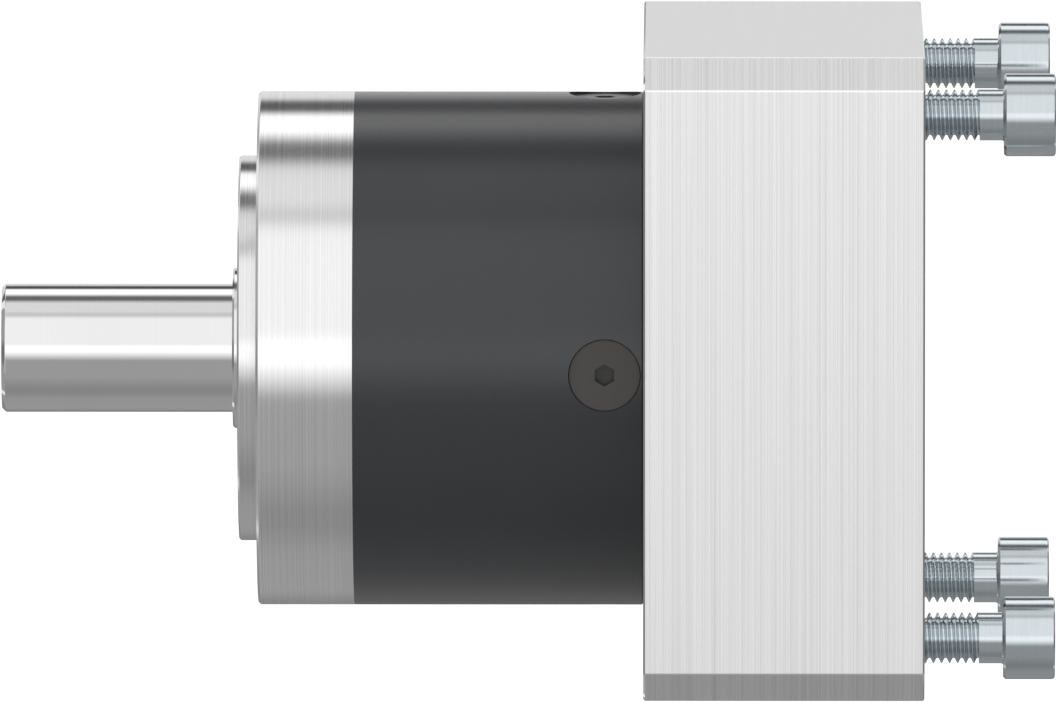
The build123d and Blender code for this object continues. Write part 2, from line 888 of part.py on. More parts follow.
# Input flange, with the input bearing's seat
input_oring_end = housing_end - oring_edge_width
input_oring_middle = input_oring_end - oring_groove_width / 2
adapter_screw_seat = adapter_floor_end - adapter_head_height - adapter_head_recess
adapter_screw_plane = cross_plane(adapter_screw_seat)
radial_thread_cut = cap_screw_form(
    radial_screw_radius + thread_clearance,
    radial_head_radius,
    radial_screw_radius + thread_clearance,
    radial_screw_length + hole_end_gap,
)
adapter_thread_cut = cap_screw_form(
    adapter_screw_radius + thread_clearance,
    adapter_head_height,
    adapter_screw_radius + thread_clearance,
    adapter_screw_length + hole_end_gap,
)
with BuildPart() as input_flange:
    ring(input_rim_start, housing_end, spigot_radius)
    ring(input_rim_start, input_disc_start, spigot_radius - input_rim_wall, mode=Mode.SUBTRACT)
    ring(
        input_disc_start,
        input_bearing_start,
        input_bearing_radius - input_lip_step,
        mode=Mode.SUBTRACT,
    )
    ring(input_bearing_start, housing_end, input_bearing_radius, mode=Mode.SUBTRACT)
    ring(
        input_oring_end - oring_groove_width,
        input_oring_end,
        spigot_radius,
        spigot_radius - oring_groove_depth,
        mode=Mode.SUBTRACT,
    )
    with Locations(*radial_planes):
        add(radial_thread_cut, mode=Mode.SUBTRACT)
    with Locations(adapter_screw_plane):
        with PolarLocations(adapter_screw_circle_diameter / 2, adapter_screw_count, start_angle=screw_pattern_turn):
            add(adapter_thread_cut, mode=Mode.SUBTRACT)
finish(input_flange, "input_flange")

with BuildPart() as input_oring:
    turn_round(input_oring_middle, oring_middle_radius, oring_section_radius)
finish(input_oring, "input_oring")

# Motor adapter: a square block with a nose that holds the input bearing, a round cavity for the
# clamping hub, a pilot bore for the motor and a hole through its far side to reach the clamp screw
adapter_hole_cut = cap_screw_form(
    adapter_head_radius + counterbore_clearance,
    adapter_floor_thickness,
    adapter_screw_radius + bolt_clearance,
    adapter_screw_length,
)
adapter_side = adapter_size / 2
access_plane = Plane(
    origin=(clamp_ring_middle, adapter_side, clamp_screw_offset),
    x_dir=(1, 0, 0),
    z_dir=(0, 1, 0),
)
with BuildPart() as motor_adapter:
    with BuildSketch(cross_plane(housing_end)):
        Rectangle(adapter_size, adapter_size)
        chamfer(vertices(), adapter_corner_width)
    extrude(amount=adapter_length)
    end_faces = faces().filter_by(Axis.X)
    chamfer(end_faces.edges(), adapter_end_bevel)
    fillet(edges().filter_by(Axis.X), adapter_edge_break_radius)
    ring(input_bearing_end, housing_end, input_bearing_radius - seat_clearance)
    ring(
        input_bearing_end,
        adapter_floor_end,
        input_bearing_radius - adapter_nose_wall,
        mode=Mode.SUBTRACT,
    )
    ring(input_seal_start, adapter_floor_end, input_seal_outer / 2, mode=Mode.SUBTRACT)
    ring(adapter_floor_end, adapter_end, adapter_cavity_diameter / 2, mode=Mode.SUBTRACT)
    ring(motor_pilot_start, adapter_end, motor_pilot_diameter / 2, mode=Mode.SUBTRACT)
    with Locations(adapter_screw_plane):
        with PolarLocations(adapter_screw_circle_diameter / 2, adapter_screw_count, start_angle=screw_pattern_turn):
            add(adapter_hole_cut, mode=Mode.SUBTRACT)
    with Locations(cross_plane(adapter_end)):
        with PolarLocations(motor_bolt_circle_diameter / 2, motor_screw_count, start_angle=screw_pattern_turn):
            CounterSinkHole(
                motor_thread_radius + running_clearance,
                motor_thread_radius + running_clearance + hole_countersink,
                motor_hole_depth,
                counter_sink_angle=90,
            )
    with Locations(access_plane):
        Hole(access_hole_radius + thread_clearance, adapter_side - clamp_screw_seat)
finish(motor_adapter, "motor_adapter")

adapter_screw = cap_screw_form(
    adapter_head_radius,
    adapter_head_height,
    adapter_screw_radius,
    adapter_screw_length,
    adapter_socket_width,
)
with BuildPart() as adapter_screws:
    with Locations(adapter_screw_plane):
        with PolarLocations(adapter_screw_circle_diameter / 2, adapter_screw_count, start_angle=screw_pattern_turn):
            add(adapter_screw)
finish(adapter_screws, "adapter_screws")

with BuildPart() as access_plug_body:
    Cylinder(access_hole_radius, access_plug_length, align=(Align.CENTER, Align.CENTER, Align.MAX))
    hex_socket(access_hole_radius, access_plug_length / 2, 0)
with BuildPart() as access_plug:
    with Locations(access_plane.offset(-access_plug_recess)):
        add(access_plug_body.part)
finish(access_plug, "access_plug")

# Motor screws, partly screwed in. The thread's solid has its mean diameter.
with BuildPart() as motor_screw:
    Cylinder(motor_head_radius, motor_head_height, align=(Align.CENTER, Align.CENTER, Align.MIN))
    fillet(edges().sort_by(Axis.Z)[-1], motor_head_rounding)
    Cylinder(motor_shank_radius, motor_shank_length, align=(Align.CENTER, Align.CENTER, Align.MAX))
    Cylinder(motor_thread_radius, motor_screw_length, align=(Align.CENTER, Align.CENTER, Align.MAX))
    hex_socket(motor_socket_width, motor_head_height / 2, motor_head_height)
with BuildPart() as motor_screws:
    with Locations(cross_plane(motor_head_seat)):
        with PolarLocations(motor_bolt_circle_diameter / 2, motor_screw_count, start_angle=screw_pattern_turn):
            add(motor_screw.part)
finish(motor_screws, "motor_screws")
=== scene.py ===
"""Looks of an inline planetary gearbox, built around its CAD frame.

Sizes are in millimetres until a piece is modelled. X runs along the gearbox axis to the motor side.
"""

import json
import logging
import math
from collections.abc import Callable, Iterable, Sequence
from dataclasses import dataclass
from enum import Enum
from functools import reduce
from itertools import cycle, pairwise

import bpy
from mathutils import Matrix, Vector

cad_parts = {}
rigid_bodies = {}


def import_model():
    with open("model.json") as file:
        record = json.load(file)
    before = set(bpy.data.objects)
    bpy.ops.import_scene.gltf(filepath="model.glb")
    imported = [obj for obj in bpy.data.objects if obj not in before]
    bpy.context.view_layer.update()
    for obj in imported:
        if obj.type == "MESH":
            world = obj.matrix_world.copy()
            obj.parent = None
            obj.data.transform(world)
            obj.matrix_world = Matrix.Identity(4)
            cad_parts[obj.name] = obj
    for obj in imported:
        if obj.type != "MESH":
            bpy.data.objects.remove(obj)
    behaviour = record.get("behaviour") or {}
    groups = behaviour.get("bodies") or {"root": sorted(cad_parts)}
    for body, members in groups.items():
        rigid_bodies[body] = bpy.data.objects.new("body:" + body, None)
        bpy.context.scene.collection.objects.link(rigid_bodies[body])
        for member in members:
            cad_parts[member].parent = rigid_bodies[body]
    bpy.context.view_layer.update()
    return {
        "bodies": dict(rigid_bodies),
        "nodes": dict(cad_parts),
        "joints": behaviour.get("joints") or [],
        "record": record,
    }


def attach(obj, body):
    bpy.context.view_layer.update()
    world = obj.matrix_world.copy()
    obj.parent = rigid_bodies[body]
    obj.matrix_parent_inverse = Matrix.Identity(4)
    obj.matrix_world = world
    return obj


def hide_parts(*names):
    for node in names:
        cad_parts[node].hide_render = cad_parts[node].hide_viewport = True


MM = 0.001
FULL_TURN = 2 * math.pi
TURNED_SEGMENTS = 192
SCREW_SEGMENTS = 96
SMALL_SEGMENTS = 64
ROUND_STEPS = 3
SMOOTH_ANGLE = math.radians(12)
MERGE_DISTANCE = 2e-7
AXIS_X = Vector((1, 0, 0))
ACROSS = Vector((0, 1, 0))
DIAGONAL = (45.0, 135.0, 225.0, 315.0)
WHITE = (1.0, 1.0, 1.0, 1.0)
PHOTO_WIDTH = 1056

log = logging.getLogger("gearbox")


# Modelling bench


@dataclass(frozen=True)
class Corner:
    """A corner of a turned outline: its place along the axis, its radius and the size of its round."""

    x: float
    r: float
    soft: float = 0.0

    def point(self) -> Vector:
        """Return the corner in metres, in the plane that the outline is drawn in."""
        return Vector((self.x, 0, self.r)) * MM


def softened(corners: Sequence[Corner], closed: bool) -> list[Vector]:
    """Round the corners of an outline that ask for it.

    Args:
        corners: The outline's corners in order.
        closed: Whether the outline comes back to its first corner.

    Returns:
        The outline's points in metres.
    """
    points: list[Vector] = []
    count = len(corners)
    for index, corner in enumerate(corners):
        here = corner.point()
        at_end = not closed and index in (0, count - 1)
        if not corner.soft or at_end:
            points.append(here)
            continue
        before = corners[index - 1].point()
        after = corners[(index + 1) % count].point()
        enter = here + (before - here).normalized() * corner.soft * MM
        leave = here + (after - here).normalized() * corner.soft * MM
        for step in range(ROUND_STEPS + 1):
            share = step / ROUND_STEPS
            points.append(enter * (1 - share) ** 2 + here * 2 * share * (1 - share) + leave * share**2)
    return points


class Bench:
    """The operators that every piece is modelled with."""

    @staticmethod
    def clear() -> None:
        """Leave edit mode and select nothing."""
        if bpy.context.object and bpy.context.object.mode != "OBJECT":
            bpy.ops.object.mode_set(mode="OBJECT")
        bpy.ops.object.select_all(action="DESELECT")

    @staticmethod
    def take(piece: bpy.types.Object) -> None:
        """Select one piece only and make it the active one."""
        Bench.clear()
        piece.select_set(True)
        bpy.context.view_layer.objects.active = piece

    @staticmethod
    def edit(piece: bpy.types.Object) -> None:
        """Open a piece in edit mode with all of it selected."""
        Bench.take(piece)
        bpy.ops.object.mode_set(mode="EDIT")
        bpy.ops.mesh.select_mode(type="VERT")
        bpy.ops.mesh.select_all(action="SELECT")

    @staticmethod
    def added(name: str) -> bpy.types.Object:
        """Name the primitive that was just added, and open it in edit mode with all of it selected."""
        piece = bpy.context.object
        piece.name = piece.data.name = name
        Bench.edit(piece)
        return piece

    @staticmethod
    def settle(piece: bpy.types.Object) -> None:
        """Put the piece's place, turn and size into its mesh."""
        Bench.take(piece)
        bpy.ops.object.transform_apply(location=True, rotation=True, scale=True)

    @staticmethod
    def clean(piece: bpy.types.Object) -> None:
        """Merge doubled points and point the faces outwards."""
        Bench.edit(piece)
        bpy.ops.mesh.remove_doubles(threshold=MERGE_DISTANCE)
        bpy.ops.mesh.normals_make_consistent(inside=False)
        bpy.ops.object.mode_set(mode="OBJECT")

    @staticmethod
    def drawn(name: str, points: Sequence[Vector], closed: bool) -> bpy.types.Object:
        """Draw a line of points: a plane is drawn together to a point, which is then extruded along.

        Args:
            name: The new object's name.
            points: The points in metres.
            closed: Whether the line comes back to its first point.

        Returns:
            The object, left in edit mode with all of it selected.
        """
        Bench.clear()
        bpy.ops.mesh.primitive_plane_add(size=MM, location=(0, 0, 0))
        line = Bench.added(name)
        bpy.ops.mesh.merge(type="CENTER")
        bpy.ops.transform.translate(value=points[0])
        route = [*points, points[0]] if closed else points
        for last, point in pairwise(route):
            bpy.ops.mesh.extrude_vertices_move(TRANSFORM_OT_translate={"value": point - last})
        bpy.ops.mesh.select_all(action="SELECT")
        if closed:
            bpy.ops.mesh.remove_doubles(threshold=MERGE_DISTANCE)
        return line

    @staticmethod
    def turned(
        name: str,
        corners: Sequence[Corner],
        closed: bool = True,
        segments: int = TURNED_SEGMENTS,
    ) -> bpy.types.Object:
        """Turn an outline about the gearbox axis, as on a lathe.

        Args:
            name: The new object's name.
            corners: The outline, closed or from axis to axis.
            closed: Whether the outline is a closed ring section.
            segments: How many steps the full turn has.

        Returns:
            The turned solid.
        """
        piece = Bench.drawn(name, softened(corners, closed), closed)
        bpy.ops.mesh.spin(steps=segments, angle=FULL_TURN, center=(0, 0, 0), axis=(1, 0, 0))
        bpy.ops.object.mode_set(mode="OBJECT")
        Bench.clean(piece)
        return piece

    @staticmethod
    def solid(name: str, corners: Sequence[Corner], segments: int = SMALL_SEGMENTS) -> bpy.types.Object:
        """Turn a solid from the outside of its outline, which is closed to the axis at both ends."""
        start, end = (Corner(corner.x, 0) for corner in (corners[0], corners[-1]))
        return Bench.turned(name, [start, *corners, end], closed=False, segments=segments)

    @staticmethod
    def block(name: str, size: Vector, centre: Vector) -> bpy.types.Object:
        """Add a cube stretched to a size in millimetres, for shaping or for cutting with."""
        Bench.clear()
        bpy.ops.mesh.primitive_cube_add(size=MM, location=centre * MM)
        piece = Bench.added(name)
        bpy.ops.transform.resize(value=size, center_override=centre * MM)
        bpy.ops.object.mode_set(mode="OBJECT")
        Bench.settle(piece)
        return piece

    @staticmethod
    def hexagon(
        name: str, across_flats: float, depth: float, mouth: float, turn: float = 0.0, tip: bool = True
    ) -> bpy.types.Object:
        """Make the space of a hexagon socket that opens towards +X.

        Args:
            name: The new object's name.
            across_flats: The key's size.
            depth: How far the flats go in.
            mouth: The x that the socket opens at.
            turn: How far the hexagon is turned about its axis, in degrees.
            tip: Whether its floor has the tip of a drill. Otherwise it is flat.

        Returns:
            The cutting solid.
        """
        over = 0.5
        radius = across_flats / math.sqrt(3)
        Bench.clear()
        bpy.ops.mesh.primitive_circle_add(
            vertices=6,
            radius=radius * MM,
            fill_type="NGON",
            rotation=(0, math.pi / 2, 0),
            location=((mouth + over) * MM, 0, 0),
        )
        cutter = Bench.added(name)
        bpy.ops.mesh.extrude_region_move(TRANSFORM_OT_translate={"value": (-(depth + over) * MM, 0, 0)})
        if tip:
            bpy.ops.mesh.extrude_region_move(TRANSFORM_OT_translate={"value": (-radius / 2 * MM, 0, 0)})
            bpy.ops.mesh.merge(type="CENTER")
        bpy.ops.object.mode_set(mode="OBJECT")
        Bench.settle(cutter)
        cutter.rotation_euler = (math.radians(turn), 0, 0)
        Bench.settle(cutter)
        Bench.clean(cutter)
        return cutter

    @staticmethod
    def aim(piece: bpy.types.Object, outward: Vector, place: Vector) -> bpy.types.Object:
        """Turn a piece that was made along +X to another direction, and move it to its place.

        Args:
            piece: The piece, made about the gearbox axis.
            outward: The direction that its +X is turned to.
            place: The point in millimetres that its origin goes to.

        Returns:
            The same piece.
        """
        piece.rotation_mode = "QUATERNION"
        piece.rotation_quaternion = AXIS_X.rotation_difference(outward)
        piece.location = place * MM
        Bench.settle(piece)
        return piece

    @staticmethod
    def copy(piece: bpy.types.Object, name: str) -> bpy.types.Object:
        """Copy a piece with its own mesh."""
        Bench.take(piece)
        bpy.ops.object.duplicate(linked=False)
        twin = bpy.context.object
        twin.name = twin.data.name = name
        return twin

    @staticmethod
    def spread(
        pattern: bpy.types.Object,
        name: str,
        places: Iterable[Vector],
        outward: Iterable[Vector] = (AXIS_X,),
    ) -> list[bpy.types.Object]:
        """Copy a pattern to several places, and remove it.

        Args:
            pattern: The pattern, made along +X about the gearbox axis.
            name: The copies' name, before their numbers.
            places: Where their origins go, in millimetres.
            outward: Where each one's +X points, or one direction for all.

        Returns:
            The copies.
        """
        twins = [
            Bench.aim(Bench.copy(pattern, f"{name}_{number}"), direction, place)
            for number, (place, direction) in enumerate(zip(places, cycle(outward)), start=1)
        ]
        bpy.data.objects.remove(pattern)
        return twins

    @staticmethod
    def joined(pieces: Sequence[bpy.types.Object]) -> bpy.types.Object:
        """Join pieces into the first one."""
        Bench.take(pieces[0])
        for piece in pieces:
            piece.select_set(True)
        if len(pieces) > 1:
            bpy.ops.object.join()
        return pieces[0]

    @staticmethod
    def combine(piece: bpy.types.Object, others: Iterable[bpy.types.Object], operation: str) -> None:
        """Cut other solids from a piece or unite them with it, and remove them.

        Args:
            piece: The piece that is shaped.
            others: The solids that cut it or join it.
            operation: DIFFERENCE or UNION.
        """
        tool = Bench.joined(list(others))
        Bench.take(piece)
        modifier = piece.modifiers.new("shape", "BOOLEAN")
        modifier.operation = operation
        modifier.solver = "EXACT"
        modifier.object = tool
        bpy.ops.object.modifier_apply(modifier=modifier.name)
        bpy.data.objects.remove(tool)

    @staticmethod
    def cut(piece: bpy.types.Object, *cutters: bpy.types.Object) -> None:
        """Cut solids from a piece."""
        Bench.combine(piece, cutters, "DIFFERENCE")

    @staticmethod
    def unite(piece: bpy.types.Object, *others: bpy.types.Object) -> None:
        """Unite solids with a piece."""
        Bench.combine(piece, others, "UNION")

    @staticmethod
    def pick_edges(piece: bpy.types.Object, test: Callable[[Vector, Vector], bool]) -> None:
        """Open a piece in edit mode with only the edges selected whose ends pass a test."""
        Bench.edit(piece)
        bpy.ops.mesh.select_mode(type="EDGE")
        bpy.ops.mesh.select_all(action="DESELECT")
        bpy.ops.object.mode_set(mode="OBJECT")
        points = piece.data.vertices
        for edge in piece.data.edges:
            edge.select = test(points[edge.vertices[0]].co, points[edge.vertices[1]].co)
        bpy.ops.object.mode_set(mode="EDIT")

    @staticmethod
    def shade(piece: bpy.types.Object) -> None:
        """Shade round surfaces smooth, and keep the corners crisp and the wide faces flat."""
        Bench.take(piece)
        bpy.ops.object.shade_smooth_by_angle(angle=SMOOTH_ANGLE)
        flatter = piece.modifiers.new("flat_faces", "WEIGHTED_NORMAL")
        flatter.keep_sharp = True
        bpy.ops.object.modifier_apply(modifier=flatter.name)
        Bench.clear()


def polar(radius: float, degrees: float) -> tuple[float, float]:
    """Return the (y, z) of a point at a radius and an angle about the gearbox axis."""
    return radius * math.cos(math.radians(degrees)), radius * math.sin(math.radians(degrees))


def around(radius: float, x: float, angles: Iterable[float]) -> list[Vector]:
    """Return points at one radius and one x, at several angles."""
    return [Vector((x, *polar(radius, angle))) for angle in angles]


@dataclass(frozen=True)
class Groove:
    """A square groove or rib in a turned surface, from the wall that the outline passes first."""

    start: float
    end: float
    floor: float

    def corners(self, surface: float) -> list[Corner]:
        """Return its corners in a surface of some radius."""
        radii = (surface, self.floor, self.floor, surface)
        return [Corner(x, radius) for x, radius in zip((self.start, self.start, self.end, self.end), radii)]


def drilled(name: str, radius: float, start: float, end: float, mouth: float) -> bpy.types.Object:
    """Make the space of a drilled hole, with its drill tip at the start and a countersink at the end.

    Args:
        name: The new object's name.
        radius: The hole's radius.
        start: The x that its full width starts at.
        end: The x of the face that it opens in.
        mouth: The width of the countersink.

    Returns:
        The cutting solid, about the gearbox axis.
    """
    over = 0.5
    corners = [
        Corner(start - radius / 2, 0),
        Corner(start, radius),
        Corner(end - mouth, radius),
        Corner(end + over, radius + mouth + over),
        Corner(end + over, 0),
    ]
    return Bench.turned(name, corners, closed=False, segments=SMALL_SEGMENTS)


@dataclass(frozen=True)
class Involute:
    """The flanks of a gear's teeth."""

    module: float
    teeth: int
    space: float
    pressure: float = math.radians(20)

    def half_space(self, radius: float, outer: bool) -> float:
        """Return half the angle of the space between two teeth at a radius, in degrees.

        Args:
            radius: The radius.
            outer: Whether the teeth point outwards.

        Returns:
            The half angle.
        """
        pitch = self.module * self.teeth / 2
        base = pitch * math.cos(self.pressure)
        rolled = math.sqrt(max((radius / base) ** 2 - 1, 0))
        spread = math.tan(self.pressure) - self.pressure - rolled + math.atan(rolled)
        half_pitch = self.space / (2 * pitch)
        return math.degrees(half_pitch - spread if outer else half_pitch + spread)

    def spaces(self, name: str, inner: float, tip: float, start: float, end: float) -> bpy.types.Object:
        """Make the spaces between all teeth as one cutting solid, with a tooth at the top.

        Args:
            name: The new object's name.
            inner: The radius at the space's closed end.
            tip: The radius at its open end.
            start: The x that the teeth start at.
            end: The x that they end at.

        Returns:
            The cutting solid.
        """
        steps = 5
        phase = 90 + 180 / self.teeth
        outer = tip > inner
        over = 0.6 if outer else -0.6
        radii = [inner + (tip - inner) * step / (steps - 1) for step in range(steps)]
        halves = [self.half_space(radius, outer) for radius in radii]
        radii.append(tip + over)
        halves.append(halves[-1])
        side = [polar(r, phase - h) for r, h in zip(radii, halves)]
        other = [polar(r, phase + h) for r, h in zip(reversed(radii), reversed(halves))]
        points = [Vector((start, y, z)) * MM for y, z in side + other]
        cutter = Bench.drawn(name, points, closed=True)
        bpy.ops.mesh.edge_face_add()
        bpy.ops.mesh.extrude_region_move(TRANSFORM_OT_translate={"value": ((end - start) * MM, 0, 0)})
        bpy.ops.mesh.select_all(action="SELECT")
        bpy.ops.mesh.spin(
            steps=self.teeth - 1,
            dupli=True,
            angle=FULL_TURN * (self.teeth - 1) / self.teeth,
            center=(0, 0, 0),
            axis=(1, 0, 0),
        )
        bpy.ops.object.mode_set(mode="OBJECT")
        Bench.clean(cutter)
        return cutter


# Finishes

END_FACING = 0.8
MARK_RANGE = (0.65, 1.35)
GRAIN_RANGE = (0.3, 0.7)
SMEAR_ROUGHNESS = 0.12
SCRATCH_ROUGHNESS = 0.1
REFRACTION = 1.5


class Lay(Enum):
    """The way that the tool marks of a finish run."""

    TURNED = "round the axis"
    BRUSHED = "straight across"


@dataclass
class Wiring:
    """Adds nodes to one tree and joins them."""

    tree: bpy.types.NodeTree

    @classmethod
    def fresh(cls, owner: bpy.types.ID) -> "Wiring":
        """Give a material or a world an empty node tree, and return its wiring."""
        owner.use_nodes = True
        owner.node_tree.nodes.clear()
        return cls(owner.node_tree)

    def feed(self, socket: bpy.types.NodeSocket, value: object) -> None:
        """Give a socket a value, or join it to another socket."""
        if isinstance(value, bpy.types.NodeSocket):
            self.tree.links.new(value, socket)
        else:
            socket.default_value = value

    def add(
        self, kind: str, inputs: dict[object, object] | None = None, **settings: object
    ) -> bpy.types.Node:
        """Add a node.

        Args:
            kind: The node's type.
            inputs: What its sockets get, by name or number.
            **settings: Its properties.

        Returns:
            The node.
        """
        node = self.tree.nodes.new(kind)
        for name, value in settings.items():
            setattr(node, name, value)
        for name, value in (inputs or {}).items():
            self.feed(node.inputs[name], value)
        return node

    def maths(self, operation: str, first: object, second: object = 0.0) -> bpy.types.NodeSocket:
        """Add a maths node and return its result."""
        return self.add("ShaderNodeMath", {0: first, 1: second}, operation=operation).outputs[0]

    def total(self, *terms: object) -> bpy.types.NodeSocket:
        """Add up several values and return the result."""
        return reduce(lambda first, second: self.maths("ADD", first, second), terms)

    def mapped(
        self, value: object, low: float, high: float, to_low: object, to_high: object
    ) -> bpy.types.NodeSocket:
        """Map a value from one range to another and return the result."""
        node = self.add("ShaderNodeMapRange", {0: value, 1: low, 2: high, 3: to_low, 4: to_high})
        return node.outputs[0]

    def grouped(self, tree: bpy.types.NodeTree, inputs: dict[str, float]) -> bpy.types.NodeOutputs:
        """Add a shared group and return its outputs."""
        return self.add("ShaderNodeGroup", inputs, node_tree=tree).outputs

    def place(self) -> bpy.types.NodeSocket:
        """Return the place on the piece, in metres."""
        return self.add("ShaderNodeTexCoord").outputs["Object"]

    def noise(self, place: object, scale: object, detail: float, **inputs: float) -> bpy.types.NodeSocket:
        """Add a noise texture and return its value."""
        sockets = {"Vector": place, "Scale": scale, "Detail": detail, **inputs}
        return self.add("ShaderNodeTexNoise", sockets).outputs[0]


class Effects:
    """The node groups that several materials share, each built once."""

    def __init__(self) -> None:
        """Build the groups."""
        self.streaks = self._streaks()
        self.grain = self._grain()
        self.handling = self._handling()

    @staticmethod
    def _group(
        name: str, inputs: dict[str, float], outputs: Sequence[str]
    ) -> tuple[bpy.types.NodeTree, Wiring]:
        """Start a group with plain number sockets.

        Args:
            name: The group's name.
            inputs: The input sockets with their usual values.
            outputs: The output sockets.

        Returns:
            The group and its wiring.
        """
        group = bpy.data.node_groups.new(name, "ShaderNodeTree")
        for socket, value in inputs.items():
            made = group.interface.new_socket(name=socket, in_out="INPUT", socket_type="NodeSocketFloat")
            made.default_value = value
        for socket in outputs:
            group.interface.new_socket(name=socket, in_out="OUTPUT", socket_type="NodeSocketFloat")
        return group, Wiring(group)

    def _streaks(self) -> bpy.types.NodeTree:
        """Build the tool marks: long thin streaks across the axis, or rings on the faces square to it.

        Returns:
            The group. Width and Length are the streaks' sizes in metres, and Turned is 1 on turned
            pieces and 0 on straight brushed ones.
        """
        group, wiring = self._group(
            "tool_marks", {"Width": 0.0003, "Length": 0.02, "Turned": 1.0}, ("Broad", "Fine")
        )
        given = wiring.add("NodeGroupInput").outputs
        place = wiring.place()
        axes = wiring.add("ShaderNodeSeparateXYZ", {0: place}).outputs
        facing = wiring.add("ShaderNodeNewGeometry").outputs["True Normal"]
        along_axis = wiring.add("ShaderNodeSeparateXYZ", {0: facing}).outputs[0]
        end_face = wiring.maths("GREATER_THAN", wiring.maths("ABSOLUTE", along_axis), END_FACING)
        squares = [wiring.maths("POWER", axis, 2.0) for axis in axes[1:]]
        radius = wiring.maths("SQRT", wiring.total(*squares))
        ring = wiring.maths("MULTIPLY", radius, given["Turned"])
        straight = wiring.maths("MULTIPLY", axes[1], wiring.maths("SUBTRACT", 1.0, given["Turned"]))
        on_end = wiring.maths("MULTIPLY", wiring.maths("ADD", ring, straight), end_face)
        across = wiring.maths("DIVIDE", wiring.maths("ADD", axes[0], on_end), given["Width"])
        run_y = wiring.maths("DIVIDE", axes[1], given["Length"])
        run_z = wiring.maths("DIVIDE", axes[2], given["Length"])
        place = wiring.add("ShaderNodeCombineXYZ", {0: across, 1: run_y, 2: run_z}).outputs[0]
        broad = wiring.noise(place, 0.45, 3.0, Roughness=0.7)
        fine = wiring.noise(place, 1.7, 2.0, Roughness=0.6)
        wiring.add("NodeGroupOutput", {"Broad": broad, "Fine": fine})
        return group

    def _grain(self) -> bpy.types.NodeTree:
        """Build the fine even grain of an oxide, a casting skin or a moulding, with wide soft mottling."""
        group, wiring = self._group("surface_grain", {"Size": 0.0004}, ("Grain", "Mottle"))
        given = wiring.add("NodeGroupInput").outputs
        place = wiring.place()
        scale = wiring.maths("DIVIDE", 1.0, given["Size"])
        grain = wiring.noise(place, scale, 3.0)
        mottle = wiring.noise(place, 55.0, 3.0, Roughness=0.55)
        wiring.add("NodeGroupOutput", {"Grain": grain, "Mottle": mottle})
        return group

    def _handling(self) -> bpy.types.NodeTree:
        """Build the faint marks of handling: soft smears, and sparse thin scratches."""
        group, wiring = self._group("handling_marks", {"Amount": 0.5}, ("Smear", "Scratch"))
        given = wiring.add("NodeGroupInput").outputs
        place = wiring.place()
        cloud = wiring.noise(place, 28.0, 4.0, Distortion=0.6)
        smear = wiring.mapped(cloud, 0.52, 0.72, 0.0, given["Amount"])
        drawn_out = {"Vector": place, "Rotation": (0.4, 0.9, 0.3), "Scale": (40.0, 900.0, 900.0)}
        lines = wiring.noise(wiring.add("ShaderNodeMapping", drawn_out).outputs[0], 1.0, 1.0)
        scratch = wiring.mapped(lines, 0.7, 0.78, 0.0, given["Amount"])
        wiring.add("NodeGroupOutput", {"Smear": smear, "Scratch": scratch})
        return group


